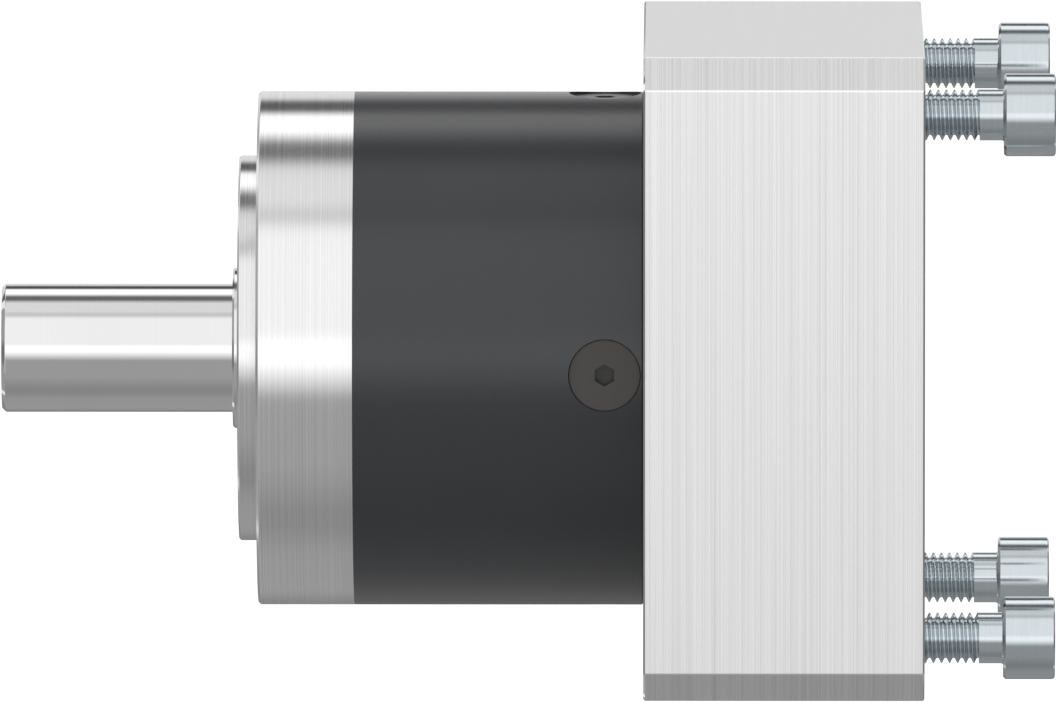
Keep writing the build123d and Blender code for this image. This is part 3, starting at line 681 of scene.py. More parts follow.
@dataclass(frozen=True)
class Finish:
    """A surface finish.

    Tones are shares of the colour, sizes are in millimetres, and stretch is how far reflections are drawn
    out across the tool marks.
    """

    name: str
    colour: tuple[float, float, float]
    roughness: float
    metallic: float = 1.0
    lay: Lay = Lay.TURNED
    mark_width: float = 0.3
    mark_length: float = 20.0
    mark_tone: float = 0.0
    mark_roughness: float = 0.0
    mark_depth: float = 0.0
    grain_size: float = 0.4
    grain_tone: float = 0.0
    grain_depth: float = 0.0
    mottle_tone: float = 0.0
    handled: float = 0.2
    stretch: float = 0.0

    def material(self, effects: Effects) -> bpy.types.Material:
        """Build the finish's material.

        Args:
            effects: The shared node groups.

        Returns:
            The material.
        """
        made = bpy.data.materials.new(self.name)
        made.diffuse_color = (*self.colour, 1.0)
        wiring = Wiring.fresh(made)
        turned = self.lay is Lay.TURNED
        marks = wiring.grouped(
            effects.streaks,
            {"Width": self.mark_width * MM, "Length": self.mark_length * MM, "Turned": float(turned)},
        )
        grain = wiring.grouped(effects.grain, {"Size": self.grain_size * MM})
        handling = wiring.grouped(effects.handling, {"Amount": self.handled})
        mark = wiring.mapped(wiring.total(marks["Broad"], marks["Fine"]), *MARK_RANGE, -1.0, 1.0)
        level = wiring.total(
            wiring.maths("MULTIPLY", mark, self.mark_tone),
            wiring.mapped(grain["Grain"], *GRAIN_RANGE, -self.grain_tone, self.grain_tone),
            wiring.mapped(grain["Mottle"], *GRAIN_RANGE, -self.mottle_tone, self.mottle_tone),
            1.0,
        )
        rough = wiring.total(
            wiring.maths("MULTIPLY", mark, self.mark_roughness),
            wiring.maths("MULTIPLY", handling["Smear"], SMEAR_ROUGHNESS),
            wiring.maths("MULTIPLY", handling["Scratch"], SCRATCH_ROUGHNESS),
            self.roughness,
        )
        height = wiring.total(
            wiring.maths("MULTIPLY", mark, self.mark_depth * MM),
            wiring.maths("MULTIPLY", grain["Grain"], self.grain_depth * MM),
        )
        colour = wiring.add("ShaderNodeVectorMath", {0: self.colour, 3: level}, operation="SCALE")
        relief = wiring.add("ShaderNodeBump", {"Height": height, "Distance": 1.0, "Strength": 1.0})
        sockets = {
            "Base Color": colour.outputs[0],
            "Roughness": rough,
            "Metallic": self.metallic,
            "IOR": REFRACTION,
        }
        if self.mark_depth or self.grain_depth:
            sockets["Normal"] = relief.outputs[0]
        if self.stretch:
            if turned:
                across = wiring.add("ShaderNodeTangent", direction_type="RADIAL", axis="X")
            else:
                nearly_along = {0: (1.0, 0.02, 0.0)}
                across = wiring.add(
                    "ShaderNodeVectorTransform", nearly_along, convert_from="OBJECT", convert_to="WORLD"
                )
            sockets["Tangent"] = across.outputs[0]
            sockets["Anisotropic"] = self.stretch
            sockets["Anisotropic Rotation"] = 0.25 if turned else 0.0
        surface = wiring.add("ShaderNodeBsdfPrincipled", sockets)
        wiring.add("ShaderNodeOutputMaterial", {"Surface": surface.outputs[0]})
        return made


class FinishName(Enum):
    """The record's material slots, and the finish of each."""

    SHAFT_STEEL = Finish(
        "shaft_steel", (0.78, 0.78, 0.785), 0.075, mark_width=0.12, mark_length=25.0,
        mark_tone=0.015, mark_roughness=0.012, mottle_tone=0.01, handled=0.1,
    )
    FLANGE_STEEL = Finish(
        "flange_steel", (0.83, 0.83, 0.835), 0.23, mark_width=0.17, mark_length=120.0,
        mark_tone=0.12, mark_roughness=0.03, mark_depth=0.0003, mottle_tone=0.01, handled=0.05, stretch=0.9,
    )
    BLACK_STEEL = Finish(
        "black_steel", (0.031, 0.0325, 0.0352), 0.23, metallic=0.0, grain_size=0.25, grain_tone=0.06,
        grain_depth=0.0006, mottle_tone=0.04, mark_roughness=0.01, handled=0.1,
    )
    ADAPTER_ALUMINIUM = Finish(
        "adapter_aluminium", (0.78, 0.78, 0.78), 0.25, lay=Lay.BRUSHED, mark_width=0.19, mark_length=140.0,
        mark_tone=0.17, mark_roughness=0.04, mark_depth=0.0003, handled=0.0, stretch=0.9,
    )
    MILLED_ALUMINIUM = Finish(
        "milled_aluminium", (0.87, 0.87, 0.87), 0.24, lay=Lay.BRUSHED, mark_width=0.5, mark_length=30.0,
        mark_tone=0.01, mark_roughness=0.02, handled=0.05,
    )
    CUT_ALUMINIUM = Finish(
        "cut_aluminium", (0.88, 0.88, 0.88), 0.1, lay=Lay.BRUSHED, mark_width=0.3, mark_length=8.0,
        mark_tone=0.02, mark_roughness=0.02, handled=0.0,
    )
    BLACK_SCREWS = Finish(
        "black_screws", (0.043, 0.04, 0.037), 0.3, metallic=0.0, mark_width=0.15, mark_tone=0.06,
        mark_roughness=0.03, grain_size=0.2, grain_tone=0.08, grain_depth=0.0004, handled=0.2,
    )
    ZINC_SCREWS = Finish(
        "zinc_screws", (0.6, 0.65, 0.68), 0.13, mark_width=0.15, mark_length=6.0, mark_tone=0.03,
        mark_roughness=0.03, grain_size=0.3, grain_tone=0.02, mottle_tone=0.03, handled=0.1,
    )
    GEAR_STEEL = Finish(
        "gear_steel", (0.55, 0.55, 0.56), 0.3, mark_width=0.2, mark_length=10.0, mark_tone=0.08,
        mark_roughness=0.06, mark_depth=0.0006, mottle_tone=0.03,
    )
    BEARING_STEEL = Finish(
        "bearing_steel", (0.8, 0.8, 0.82), 0.1, mark_width=0.1, mark_length=15.0, mark_tone=0.03,
        mark_roughness=0.03, handled=0.1,
    )
    SPRING_STEEL = Finish(
        "spring_steel", (0.2, 0.2, 0.22), 0.4, grain_size=0.2, grain_tone=0.12, grain_depth=0.001,
        mottle_tone=0.06,
    )
    SEAL_CASE = Finish(
        "seal_case", (0.12, 0.12, 0.13), 0.42, mark_width=0.25, mark_length=12.0, mark_tone=0.08,
        mark_roughness=0.05, grain_size=0.25, grain_tone=0.05, grain_depth=0.001,
    )
    CAGE_PLASTIC = Finish(
        "cage_plastic", (0.75, 0.7, 0.58), 0.5, metallic=0.0, grain_size=0.5, grain_tone=0.03,
        grain_depth=0.002, mottle_tone=0.03,
    )
    BLACK_RUBBER = Finish(
        "black_rubber", (0.03, 0.03, 0.03), 0.6, metallic=0.0, mark_width=0.3, mark_tone=0.08,
        grain_size=0.3, grain_tone=0.1, grain_depth=0.003, mottle_tone=0.05,
    )
    PLUG_STEEL = Finish(
        "plug_steel", (0.6, 0.62, 0.65), 0.25, mark_width=0.2, mark_length=6.0, mark_tone=0.04,
        mark_roughness=0.04, mottle_tone=0.03,
    )


class Workshop:
    """Dresses finished pieces and hands them to the frame."""

    def __init__(self, frame: dict[str, object]) -> None:
        """Build the materials.

        Args:
            frame: The loaded frame.
        """
        self.frame = frame
        effects = Effects()
        self.materials = {finish: finish.value.material(effects) for finish in FinishName}
        self.finishes = {finish.value.name: finish for finish in FinishName}

    def hand_over(self, piece: bpy.types.Object, body: str, finish: FinishName, *nodes: str) -> None:
        """Shade and dress a piece, and let it ride on its body.

        Args:
            piece: The finished piece.
            body: The CAD body that carries it.
            finish: Its finish.
            *nodes: The CAD nodes that it stands for.
        """
        Bench.shade(piece)
        piece.data.materials.clear()
        piece.data.materials.append(self.materials[finish])
        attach(piece, body)
        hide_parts(*nodes)
        log.info("%s: %d faces, %s, on %s", piece.name, len(piece.data.polygons), finish.value.name, body)

    def dress_frame(self) -> None:
        """Give every CAD node the finish of its slot."""
        for part in self.frame["record"]["subparts"]:
            node = self.frame["nodes"][part["node"]]
            material = self.materials[self.finishes[part["material_slot"]]]
            if not node.material_slots:
                node.data.materials.append(material)
            for slot in node.material_slots:
                slot.material = material


# Fasteners


@dataclass(frozen=True)
class Thread:
    """A right-hand outside thread along +X."""

    pitch: float
    crest: float
    root: float
    crest_flat: float = 0.14
    root_flat: float = 0.34
    root_round: float = 0.16

    def model(self, name: str, start: float, end: float) -> bpy.types.Object:
        """Wind one ridge of the thread along the axis, trim it square and close it.

        Args:
            name: The new object's name.
            start: The x that the thread starts at.
            end: The x that it ends at.

        Returns:
            The threaded rod.
        """
        first = start - self.pitch
        turns = math.ceil((end - start) / self.pitch) + 2
        middle = self.pitch / 2
        profile = [
            Corner(first, self.root),
            Corner(first + self.root_flat / 2, self.root, self.root_round),
            Corner(first + middle - self.crest_flat / 2, self.crest),
            Corner(first + middle + self.crest_flat / 2, self.crest),
            Corner(first + self.pitch - self.root_flat / 2, self.root, self.root_round),
            Corner(first + self.pitch, self.root),
        ]
        rod = Bench.drawn(name, softened(profile, closed=False), closed=False)
        bpy.ops.object.mode_set(mode="OBJECT")
        winding = rod.modifiers.new("winding", "SCREW")
        winding.axis = "X"
        winding.angle = FULL_TURN
        winding.screw_offset = self.pitch * MM
        winding.iterations = turns
        winding.steps = winding.render_steps = SMALL_SEGMENTS
        Bench.take(rod)
        bpy.ops.object.modifier_apply(modifier=winding.name)
        Bench.clean(rod)
        for place, outward in ((start, -1), (end, 1)):
            Bench.edit(rod)
            bpy.ops.mesh.bisect(plane_co=(place * MM, 0, 0), plane_no=(outward, 0, 0), clear_outer=True)
            bpy.ops.mesh.remove_doubles(threshold=MERGE_DISTANCE)
            bpy.ops.mesh.edge_face_add()
            bpy.ops.object.mode_set(mode="OBJECT")
        Bench.clean(rod)
        return rod


@dataclass(frozen=True)
class CapScrew:
    """A socket head cap screw. It is made along the axis, with its seat at x 0 and its head on +X."""

    head_radius: float
    head_height: float
    shank_radius: float
    length: float
    socket: float
    rim: float = 0.3
    plain: float = 0.0
    thread: Thread | None = None
    fillet: float = 0.3
    tip: float = 0.5
    under_bevel: float = 0.1

    def model(self, name: str) -> bpy.types.Object:
        """Model the screw.

        Args:
            name: The new object's name.

        Returns:
            The screw.
        """
        inside, runout, slack = 0.02, 0.3, 0.03
        shank_end = -self.plain if self.thread else -self.length + self.tip
        core = self.thread.root - inside if self.thread else self.shank_radius
        corners = [Corner(-self.length, core - self.tip), Corner(-self.length + self.tip, core)]
        if self.thread:
            corners += [Corner(shank_end, core), Corner(shank_end, self.shank_radius)]
        corners += [
            Corner(0, self.shank_radius, self.fillet),
            Corner(0, self.head_radius - self.under_bevel),
            Corner(self.under_bevel, self.head_radius),
            Corner(self.head_height, self.head_radius, self.rim),
        ]
        screw = Bench.solid(name, corners, SCREW_SEGMENTS)
        if self.thread:
            rod = self.thread.model(f"{name}_thread", -self.length + self.tip, shank_end + runout)
            Bench.unite(screw, rod)
        edge = self.socket / math.sqrt(3) + slack
        mouth_depth, over = 0.25, 0.2
        mouth = [
            Corner(self.head_height - mouth_depth, edge - mouth_depth),
            Corner(self.head_height + over, edge + over),
        ]
        Bench.cut(screw, Bench.solid(f"{name}_mouth", mouth))
        depth = self.head_height / 2
        Bench.cut(screw, Bench.hexagon(f"{name}_socket", self.socket, depth, self.head_height))
        return screw


@dataclass(frozen=True)
class CapScrewSet:
    """Alike cap screws on a circle about the gearbox axis."""

    name: str
    screw: CapScrew
    circle: float
    seat: float
    finish: FinishName
    node: str

    def build(self, workshop: Workshop) -> None:
        """Model one screw, copy it to each place and hand all over."""
        pattern = self.screw.model(f"{self.name}_pattern")
        for screw in Bench.spread(pattern, self.name, around(self.circle / 2, self.seat, DIAGONAL)):
            workshop.hand_over(screw, "housing", self.finish, self.node)


@dataclass(frozen=True)
class RadialScrews:
    """The four countersunk screws that hold the input flange in the housing."""

    x: float = 54.0
    flush: float = 39.38
    head_radius: float = 5.6
    shank_radius: float = 2.5
    length: float = 16.0
    socket: float = 3.0
    socket_depth: float = 2.2
    head_clearance: float = 0.03
    shank_clearance: float = 0.25
    angles: tuple[float, ...] = (270.0, 0.0, 90.0, 180.0)

    def _placed(self, pattern: bpy.types.Object, name: str) -> list[bpy.types.Object]:
        """Copy a pattern to the places of the four screws."""
        outward = [Vector((0, *polar(1, angle))) for angle in self.angles]
        return Bench.spread(pattern, name, around(self.flush, self.x, self.angles), outward)

    def cutter(self) -> bpy.types.Object:
        """Make the space for all four screws in the housing."""
        over = 3
        head = self.head_radius + self.head_clearance
        shank = self.shank_radius + self.shank_clearance
        outline = [
            Corner(-self.length, shank),
            Corner(shank - head, shank),
            Corner(0, head),
            Corner(over, head),
        ]
        return Bench.joined(self._placed(Bench.solid("radial_pattern", outline), "radial_space"))

    def build(self, workshop: Workshop) -> None:
        """Model one screw, copy it to each place and hand all over."""
        tip, rim, shy, edge = 0.4, 0.1, 0.06, 0.14
        outline = [
            Corner(-self.length, self.shank_radius - tip),
            Corner(-self.length + tip, self.shank_radius),
            Corner(self.shank_radius - self.head_radius, self.shank_radius),
            Corner(-rim, self.head_radius - shy),
            Corner(0, self.head_radius - edge),
        ]
        pattern = Bench.solid("radial_screw_pattern", outline, SCREW_SEGMENTS)
        socket = Bench.hexagon("radial_socket", self.socket, self.socket_depth, 0, turn=30, tip=False)
        Bench.cut(pattern, socket)
        for screw in self._placed(pattern, "radial_screw"):
            workshop.hand_over(screw, "housing", FinishName.BLACK_SCREWS, "radial_screws")


# Output side

EDGE_BREAK = 0.05


@dataclass(frozen=True)
class ShaftSeal:
    """A shaft seal's sheet metal case and rubber lip. It faces -1 or 1 along the axis, into the gearbox."""

    name: str
    outside: float
    facing: int
    bore: float
    outer: float
    width: float = 7.0
    wall: float = 0.8
    lip_rise: float = 1.0
    lip_wall: float = 0.9
    spring_share: float = 0.62
    spring_radius: float = 0.7

    def _placed(self, outline: Iterable[tuple[float, float, float]]) -> list[Corner]:
        """Return corners from depths into the gearbox, radii and rounds."""
        return [Corner(self.outside + self.facing * depth, radius, soft) for depth, radius, soft in outline]

    def build(self, workshop: Workshop) -> None:
        """Model the case and the lip, and hand both over."""
        case_inside = self.outer - self.wall
        lip_inside = self.bore + self.lip_rise
        lip_outside = lip_inside + self.lip_wall
        spring = self.width * self.spring_share
        shy = 0.05
        case = Bench.turned(
            f"{self.name}_case_shell",
            self._placed(
                [
                    (0, lip_outside, 0),
                    (0, self.outer, 0.4),
                    (self.width, self.outer, 0.1),
                    (self.width, case_inside, 0.1),
                    (self.wall, case_inside, 0.2),
                    (self.wall, lip_outside, 0),
                ]
            ),
        )
        workshop.hand_over(case, "housing", FinishName.SEAL_CASE, f"{self.name}_case")
        lip = Bench.turned(
            f"{self.name}_rubber",
            self._placed(
                [
                    (shy, lip_inside, 0.2),
                    (shy, lip_outside, 0),
                    (self.wall, lip_outside, 0),
                    (self.wall, case_inside, 0),
                    (2 * self.wall, case_inside, 0),
                    (2 * self.wall, lip_outside, 0.2),
                    (spring + self.spring_radius, lip_outside, 0.2),
                    (spring + self.spring_radius, lip_inside, 0.1),
                    (spring, self.bore + shy, shy),
                    (spring - self.spring_radius, lip_inside, 0.2),
                ]
            ),
        )
        workshop.hand_over(lip, "housing", FinishName.BLACK_RUBBER, f"{self.name}_lip")


@dataclass(frozen=True)
class OutputShaft:
    """The output shaft, in one piece with the planet carrier's disc and posts."""

    end: float = -40.0
    radius: float = 10.0
    end_chamfer: float = 0.6
    centre_radius: float = 2.5
    centre_depth: float = 16.0
    centre_tip: float = 1.4
    centre_mouth: float = 0.6
    collar_face: float = -4.0
    journal: float = 12.5
    collar_bevel: float = 0.3
    groove: Groove = Groove(4.75, 6.0, 11.95)
    bearings_end: float = 25.0
    shoulder: float = 14.5
    disc_start: float = 28.0
    disc_end: float = 33.0
    disc_radius: float = 28.0
    posts_end: float = 46.0
    post_radius: float = 6.0
    post_root: float = 2.0
    post_circle: float = 21.6
    post_angles: tuple[float, ...] = (150.0, 270.0, 30.0)
    post_thread: tuple[float, float] = (2.03, 37.4)
    thread_mouth: float = 0.3
    pin_circle: float = 18.75
    pin_angles: tuple[float, ...] = (90.0, 210.0, 330.0)
    pin_seat: tuple[float, float] = (4.02, 29.0)
    pin_mouth: float = 0.2

    def build(self, workshop: Workshop) -> None:
        """Model the shaft and hand it over."""
        outline = [
            Corner(self.end + self.centre_depth + self.centre_tip, 0),
            Corner(self.end + self.centre_depth, self.centre_radius),
            Corner(self.end + self.centre_mouth, self.centre_radius),
            Corner(self.end, self.centre_radius + self.centre_mouth, 0.1),
            Corner(self.end, self.radius - self.end_chamfer, 0.1),
            Corner(self.end + self.end_chamfer, self.radius, 0.1),
            Corner(self.collar_face, self.radius),
            Corner(self.collar_face, self.journal - self.collar_bevel),
            Corner(self.collar_face + self.collar_bevel, self.journal),
            *self.groove.corners(self.journal),
            Corner(self.bearings_end, self.journal),
            Corner(self.bearings_end, self.shoulder, 0.2),
            Corner(self.disc_start, self.shoulder, 0.2),
            Corner(self.disc_start, self.disc_radius, 0.3),
            Corner(self.disc_end, self.disc_radius, 0.3),
            Corner(self.disc_end, 0),
        ]
        shaft = Bench.turned("output_shaft_and_carrier", outline, closed=False)
        post_outline = [
            Corner(self.disc_end - self.post_root, self.post_radius),
            Corner(self.posts_end, self.post_radius, 0.3),
        ]
        post = Bench.solid("post", post_outline)
        thread_space = drilled("post_thread", *self.post_thread, self.posts_end, self.thread_mouth)
        pin_seat = drilled("pin_seat", *self.pin_seat, self.disc_end, self.pin_mouth)
        post_places = around(self.post_circle, 0, self.post_angles)
        pin_places = around(self.pin_circle, 0, self.pin_angles)
        Bench.unite(shaft, *Bench.spread(post, "post_one", post_places))
        thread_spaces = Bench.spread(thread_space, "post_thread_one", post_places)
        pin_seats = Bench.spread(pin_seat, "pin_seat_one", pin_places)
        Bench.cut(shaft, *thread_spaces, *pin_seats)
        workshop.hand_over(shaft, "carrier", FinishName.SHAFT_STEEL, "output_shaft")


@dataclass(frozen=True)
class OutputFlange:
    """The output flange with its pilot, bearing seat and spigot."""

    pilot_face: float = -3.0
    pilot_radius: float = 30.0
    pilot_bevel: float = 0.3
    bevel: float = 0.4
    radius: float = 40.0
    thickness: float = 15.0
    spigot_radius: float = 32.0
    spigot_end: float = 27.5
    seal_bore: float = 19.0
    seal_end: float = 4.2
    seal_mouth: float = 0.2
    stop_bore: float = 17.5
    bearing_start: float = 6.0
    bearing_bore: float = 21.0
    circlip_groove: Groove = Groove(26.8, 25.0, 22.25)
    ring_groove: Groove = Groove(20.25, 22.25, 30.7)
    bolt_circle: float = 70.0
    bolt_radius: float = 2.5
    bolt_depth: float = 11.0
    bolt_mouth: float = 0.6

    def build(self, workshop: Workshop) -> None:
        """Model the flange and hand it over."""
        soft = 0.08
        flange = Bench.turned(
            "output_flange_body",
            [
                Corner(self.pilot_face, self.seal_bore + self.seal_mouth),
                Corner(self.pilot_face, self.pilot_radius - self.pilot_bevel, soft),
                Corner(self.pilot_face + self.pilot_bevel, self.pilot_radius, soft),
                Corner(0, self.pilot_radius),
                Corner(0, self.radius - self.bevel, soft),
                Corner(self.bevel, self.radius, soft),
                Corner(self.thickness - EDGE_BREAK, self.radius),
                Corner(self.thickness, self.radius - EDGE_BREAK),
                Corner(self.thickness, self.spigot_radius),
                *self.ring_groove.corners(self.spigot_radius),
                Corner(self.spigot_end, self.spigot_radius, 0.4),
                Corner(self.spigot_end, self.bearing_bore, 0.2),
                *self.circlip_groove.corners(self.bearing_bore),
                Corner(self.bearing_start, self.bearing_bore),
                Corner(self.bearing_start, self.stop_bore),
                Corner(self.seal_end, self.stop_bore),
                Corner(self.seal_end, self.seal_bore),
                Corner(self.pilot_face + self.seal_mouth, self.seal_bore),
            ],
        )
        hole = drilled("bolt_hole", self.bolt_radius, -self.bolt_depth, 0, self.bolt_mouth)
        places = around(self.bolt_circle / 2, 0, DIAGONAL)
        Bench.cut(flange, *Bench.spread(hole, "bolt_hole_one", places, [-AXIS_X]))
        workshop.hand_over(flange, "housing", FinishName.FLANGE_STEEL, "output_flange")


@dataclass(frozen=True)
class RingGearHousing:
    """The black housing with the ring gear's teeth in its bore."""

    start: float = 15.0
    end: float = 60.0
    radius: float = 40.0
    bore: float = 32.02
    end_bevel: float = 0.25
    teeth: Groove = Groove(47.0, 32.0, 29.0)
    root_radius: float = 31.5625
    gear: Involute = Involute(1.25, 48, 2.0335)
    screws: RadialScrews = RadialScrews()

    def build(self, workshop: Workshop) -> None:
        """Model the housing and hand it over."""
        housing = Bench.turned(
            "ring_gear_housing_body",
            [
                Corner(self.start, self.bore),
                Corner(self.start, self.radius - EDGE_BREAK),
                Corner(self.start + EDGE_BREAK, self.radius),
                Corner(self.end - self.end_bevel, self.radius),
                Corner(self.end, self.radius - self.end_bevel),
                Corner(self.end, self.bore),
                *self.teeth.corners(self.bore),
            ],
            segments=2 * TURNED_SEGMENTS,
        )
        over = 0.1
        first, last = self.teeth.end - over, self.teeth.start + over
        Bench.cut(housing, self.gear.spaces("ring_spaces", self.root_radius, self.teeth.floor, first, last))
        Bench.cut(housing, self.screws.cutter())
        workshop.hand_over(housing, "housing", FinishName.BLACK_STEEL, "ring_gear_housing")


# Motor side


@dataclass(frozen=True)
class AccessPlug:
    """The plug that closes the hole to the clamp screw, on the far side."""

    x: float = 89.0
    z: float = 20.5
    outside: float = 49.7
    radius: float = 6.0
    length: float = 8.0
    socket: float = 6.0

    def build(self, workshop: Workshop) -> None:
        """Model the plug and hand it over."""
        outline = [Corner(-self.length, self.radius, 0.4), Corner(0, self.radius, 0.4)]
        plug = Bench.solid("access_plug_body", outline, SCREW_SEGMENTS)
        Bench.cut(plug, Bench.hexagon("plug_socket", self.socket, self.length / 2, 0))
        Bench.aim(plug, ACROSS, Vector((self.x, self.outside, self.z)))
        workshop.hand_over(plug, "housing", FinishName.PLUG_STEEL, "access_plug")


@dataclass(frozen=True)
class MotorAdapter:
    """The square block that takes the motor, with its bores and screw holes."""

    start: float = 60.0
    end: float = 103.5
    size: float = 100.0
    corner: float = 4.7
    end_bevel: float = 0.3
    edge_break: float = 0.2
    nose_start: float = 59.0
    nose_radius: float = 20.98
    bore: float = 18.0
    seal_bore: float = 21.0
    seal_start: float = 61.0
    floor_end: float = 70.0
    cavity: float = 37.0
    pilot: float = 47.5
    pilot_start: float = 99.5
    motor_circle: float = 115.0
    motor_hole: float = 4.06
    motor_hole_depth: float = 21.5
    motor_hole_mouth: float = 0.6
    motor_screw_seat: float = 115.7
    screw_circle: float = 54.0
    screw_seat: float = 64.7
    counterbore: float = 4.65
    screw_hole: float = 2.75
    mouth: float = 0.3
    plug: AccessPlug = AccessPlug()
    plug_clearance: float = 0.03
    access_depth: float = 25.0

    def _blank(self) -> bpy.types.Object:
        """Saw the block, chamfer its corners and break its edges."""
        length = self.end - self.start
        middle = Vector(((self.start + self.end) / 2, 0, 0))
        block = Bench.block("motor_adapter_block", Vector((length, self.size, self.size)), middle)

        def runs_along(a: Vector, b: Vector) -> bool:
            """Tell whether an edge runs along the axis."""
            return abs(a.x - b.x) > length * MM / 2

        def lies_across(a: Vector, b: Vector) -> bool:
            """Tell whether an edge bounds an end face."""
            return not runs_along(a, b)

        for test, width, segments in (
            (runs_along, self.corner, 1),
            (lies_across, self.end_bevel, 1),
            (runs_along, self.edge_break, 3),
        ):
            Bench.pick_edges(block, test)
            bpy.ops.mesh.bevel(offset_type="OFFSET", offset=width * MM, segments=segments, affect="EDGES")
            bpy.ops.object.mode_set(mode="OBJECT")
        return block

    def build(self, workshop: Workshop) -> None:
        """Model the adapter and hand it over."""
        over = 1.0
        block = self._blank()
        nose = [
            Corner(self.nose_start, self.nose_radius, 0.2),
            Corner(self.start + over, self.nose_radius),
        ]
        Bench.unite(block, Bench.solid("nose", nose, TURNED_SEGMENTS))
        inside = [
            Corner(self.nose_start - over, self.bore),
            Corner(self.seal_start, self.bore),
            Corner(self.seal_start, self.seal_bore),
            Corner(self.floor_end - self.mouth, self.seal_bore),
            Corner(self.floor_end, self.seal_bore + self.mouth),
            Corner(self.floor_end, self.cavity, 1.0),
            Corner(self.pilot_start, self.cavity),
            Corner(self.pilot_start, self.pilot),
            Corner(self.end - self.mouth, self.pilot),
            Corner(self.end + over, self.pilot + self.mouth + over),
        ]
        Bench.cut(block, Bench.solid("inside", inside, TURNED_SEGMENTS))
        bottom = self.end - self.motor_hole_depth
        motor_hole = drilled("motor_hole", self.motor_hole, bottom, self.end, self.motor_hole_mouth)
        screw_hole = Bench.solid(
            "screw_hole",
            [
                Corner(self.start - over, self.screw_hole),
                Corner(self.screw_seat, self.screw_hole),
                Corner(self.screw_seat, self.counterbore),
                Corner(self.floor_end + over / 2, self.counterbore),
            ],
        )
        motor_holes = Bench.spread(motor_hole, "motor_hole_one", around(self.motor_circle / 2, 0, DIAGONAL))
        screw_holes = Bench.spread(screw_hole, "screw_hole_one", around(self.screw_circle / 2, 0, DIAGONAL))
        Bench.cut(block, *motor_holes, *screw_holes)
        access_radius = self.plug.radius + self.plug_clearance
        access = drilled("access_hole", access_radius, -self.access_depth, 0, self.mouth)
        Bench.aim(access, ACROSS, Vector((self.plug.x, self.size / 2, self.plug.z)))
        Bench.cut(block, access)
        workshop.hand_over(block, "housing", FinishName.ADAPTER_ALUMINIUM, "motor_adapter")
        self._dress_faces(block, workshop.materials)

    def _dress_faces(
        self, block: bpy.types.Object, materials: dict[FinishName, bpy.types.Material]
    ) -> None:
        """Give the bevels and the top and bottom, which weren't brushed, their smoother finishes.

        Args:
            block: The adapter, dressed all over as brushed.
            materials: The workshop's materials.
        """
        cut, milled = 1, 2
        flat, steep, slight, uneven = 0.995, 0.95, 0.3, 0.1
        block.data.materials.append(materials[FinishName.CUT_ALUMINIUM])
        block.data.materials.append(materials[FinishName.MILLED_ALUMINIUM])
        shell = (self.size / 2 - 1.2 * self.corner) * MM
        for face in block.data.polygons:
            if max(abs(face.center.y), abs(face.center.z)) <= shell:
                continue
            along, across, up = (abs(part) for part in face.normal)
            long_edge = along < slight and max(across, up) < flat and abs(across - up) > uneven
            if long_edge or slight < along < steep:
                face.material_index = cut
            elif up > flat:
                face.material_index = milled


@dataclass(frozen=True)
class SunShaft:
    """The sun pinion, its bearing journal and the slit clamping hub."""

    start: float = 33.5
    pinion_end: float = 46.0
    tip_radius: float = 8.75
    root_radius: float = 5.9375
    neck_radius: float = 7.0
    journal_start: float = 51.2
    radius: float = 15.0
    collar_start: float = 59.0
    collar_end: float = 60.0
    collar_radius: float = 16.5
    end: float = 96.0
    bore: float = 9.5
    bore_start: float = 62.0
    mouth: float = 0.4
    slit: float = 1.5
    slit_length: float = 16.0
    gear: Involute = Involute(1.25, 12, 2.0335)

    def build(self, workshop: Workshop) -> None:
        """Model the shaft and hand it over."""
        outline = [
            Corner(self.start, self.tip_radius),
            Corner(self.pinion_end, self.tip_radius),
            Corner(self.pinion_end, self.neck_radius),
            Corner(self.journal_start, self.neck_radius),
            Corner(self.journal_start, self.radius, 0.4),
            Corner(self.collar_start, self.radius),
            Corner(self.collar_start, self.collar_radius),
            Corner(self.collar_end, self.collar_radius, 0.1),
            Corner(self.collar_end, self.radius),
            Corner(self.end, self.radius, 0.4),
            Corner(self.end, self.bore + self.mouth),
            Corner(self.end - self.mouth, self.bore),
            Corner(self.bore_start, self.bore),
        ]
        shaft = Bench.solid("sun_shaft_and_hub", outline, TURNED_SEGMENTS)
        over = 1.0
        first = self.start - 0.1 * over
        spaces = self.gear.spaces("sun_spaces", self.root_radius, self.tip_radius, first, self.pinion_end)
        Bench.cut(shaft, spaces)
        reach = 2 * (self.radius + over)
        middle = Vector((self.end - (self.slit_length - over) / 2, 0, 0))
        for size in ((self.slit, reach), (reach, self.slit)):
            Bench.cut(shaft, Bench.block("slit", Vector((self.slit_length + over, *size)), middle))
        workshop.hand_over(shaft, "sun", FinishName.SHAFT_STEEL, "sun_shaft")


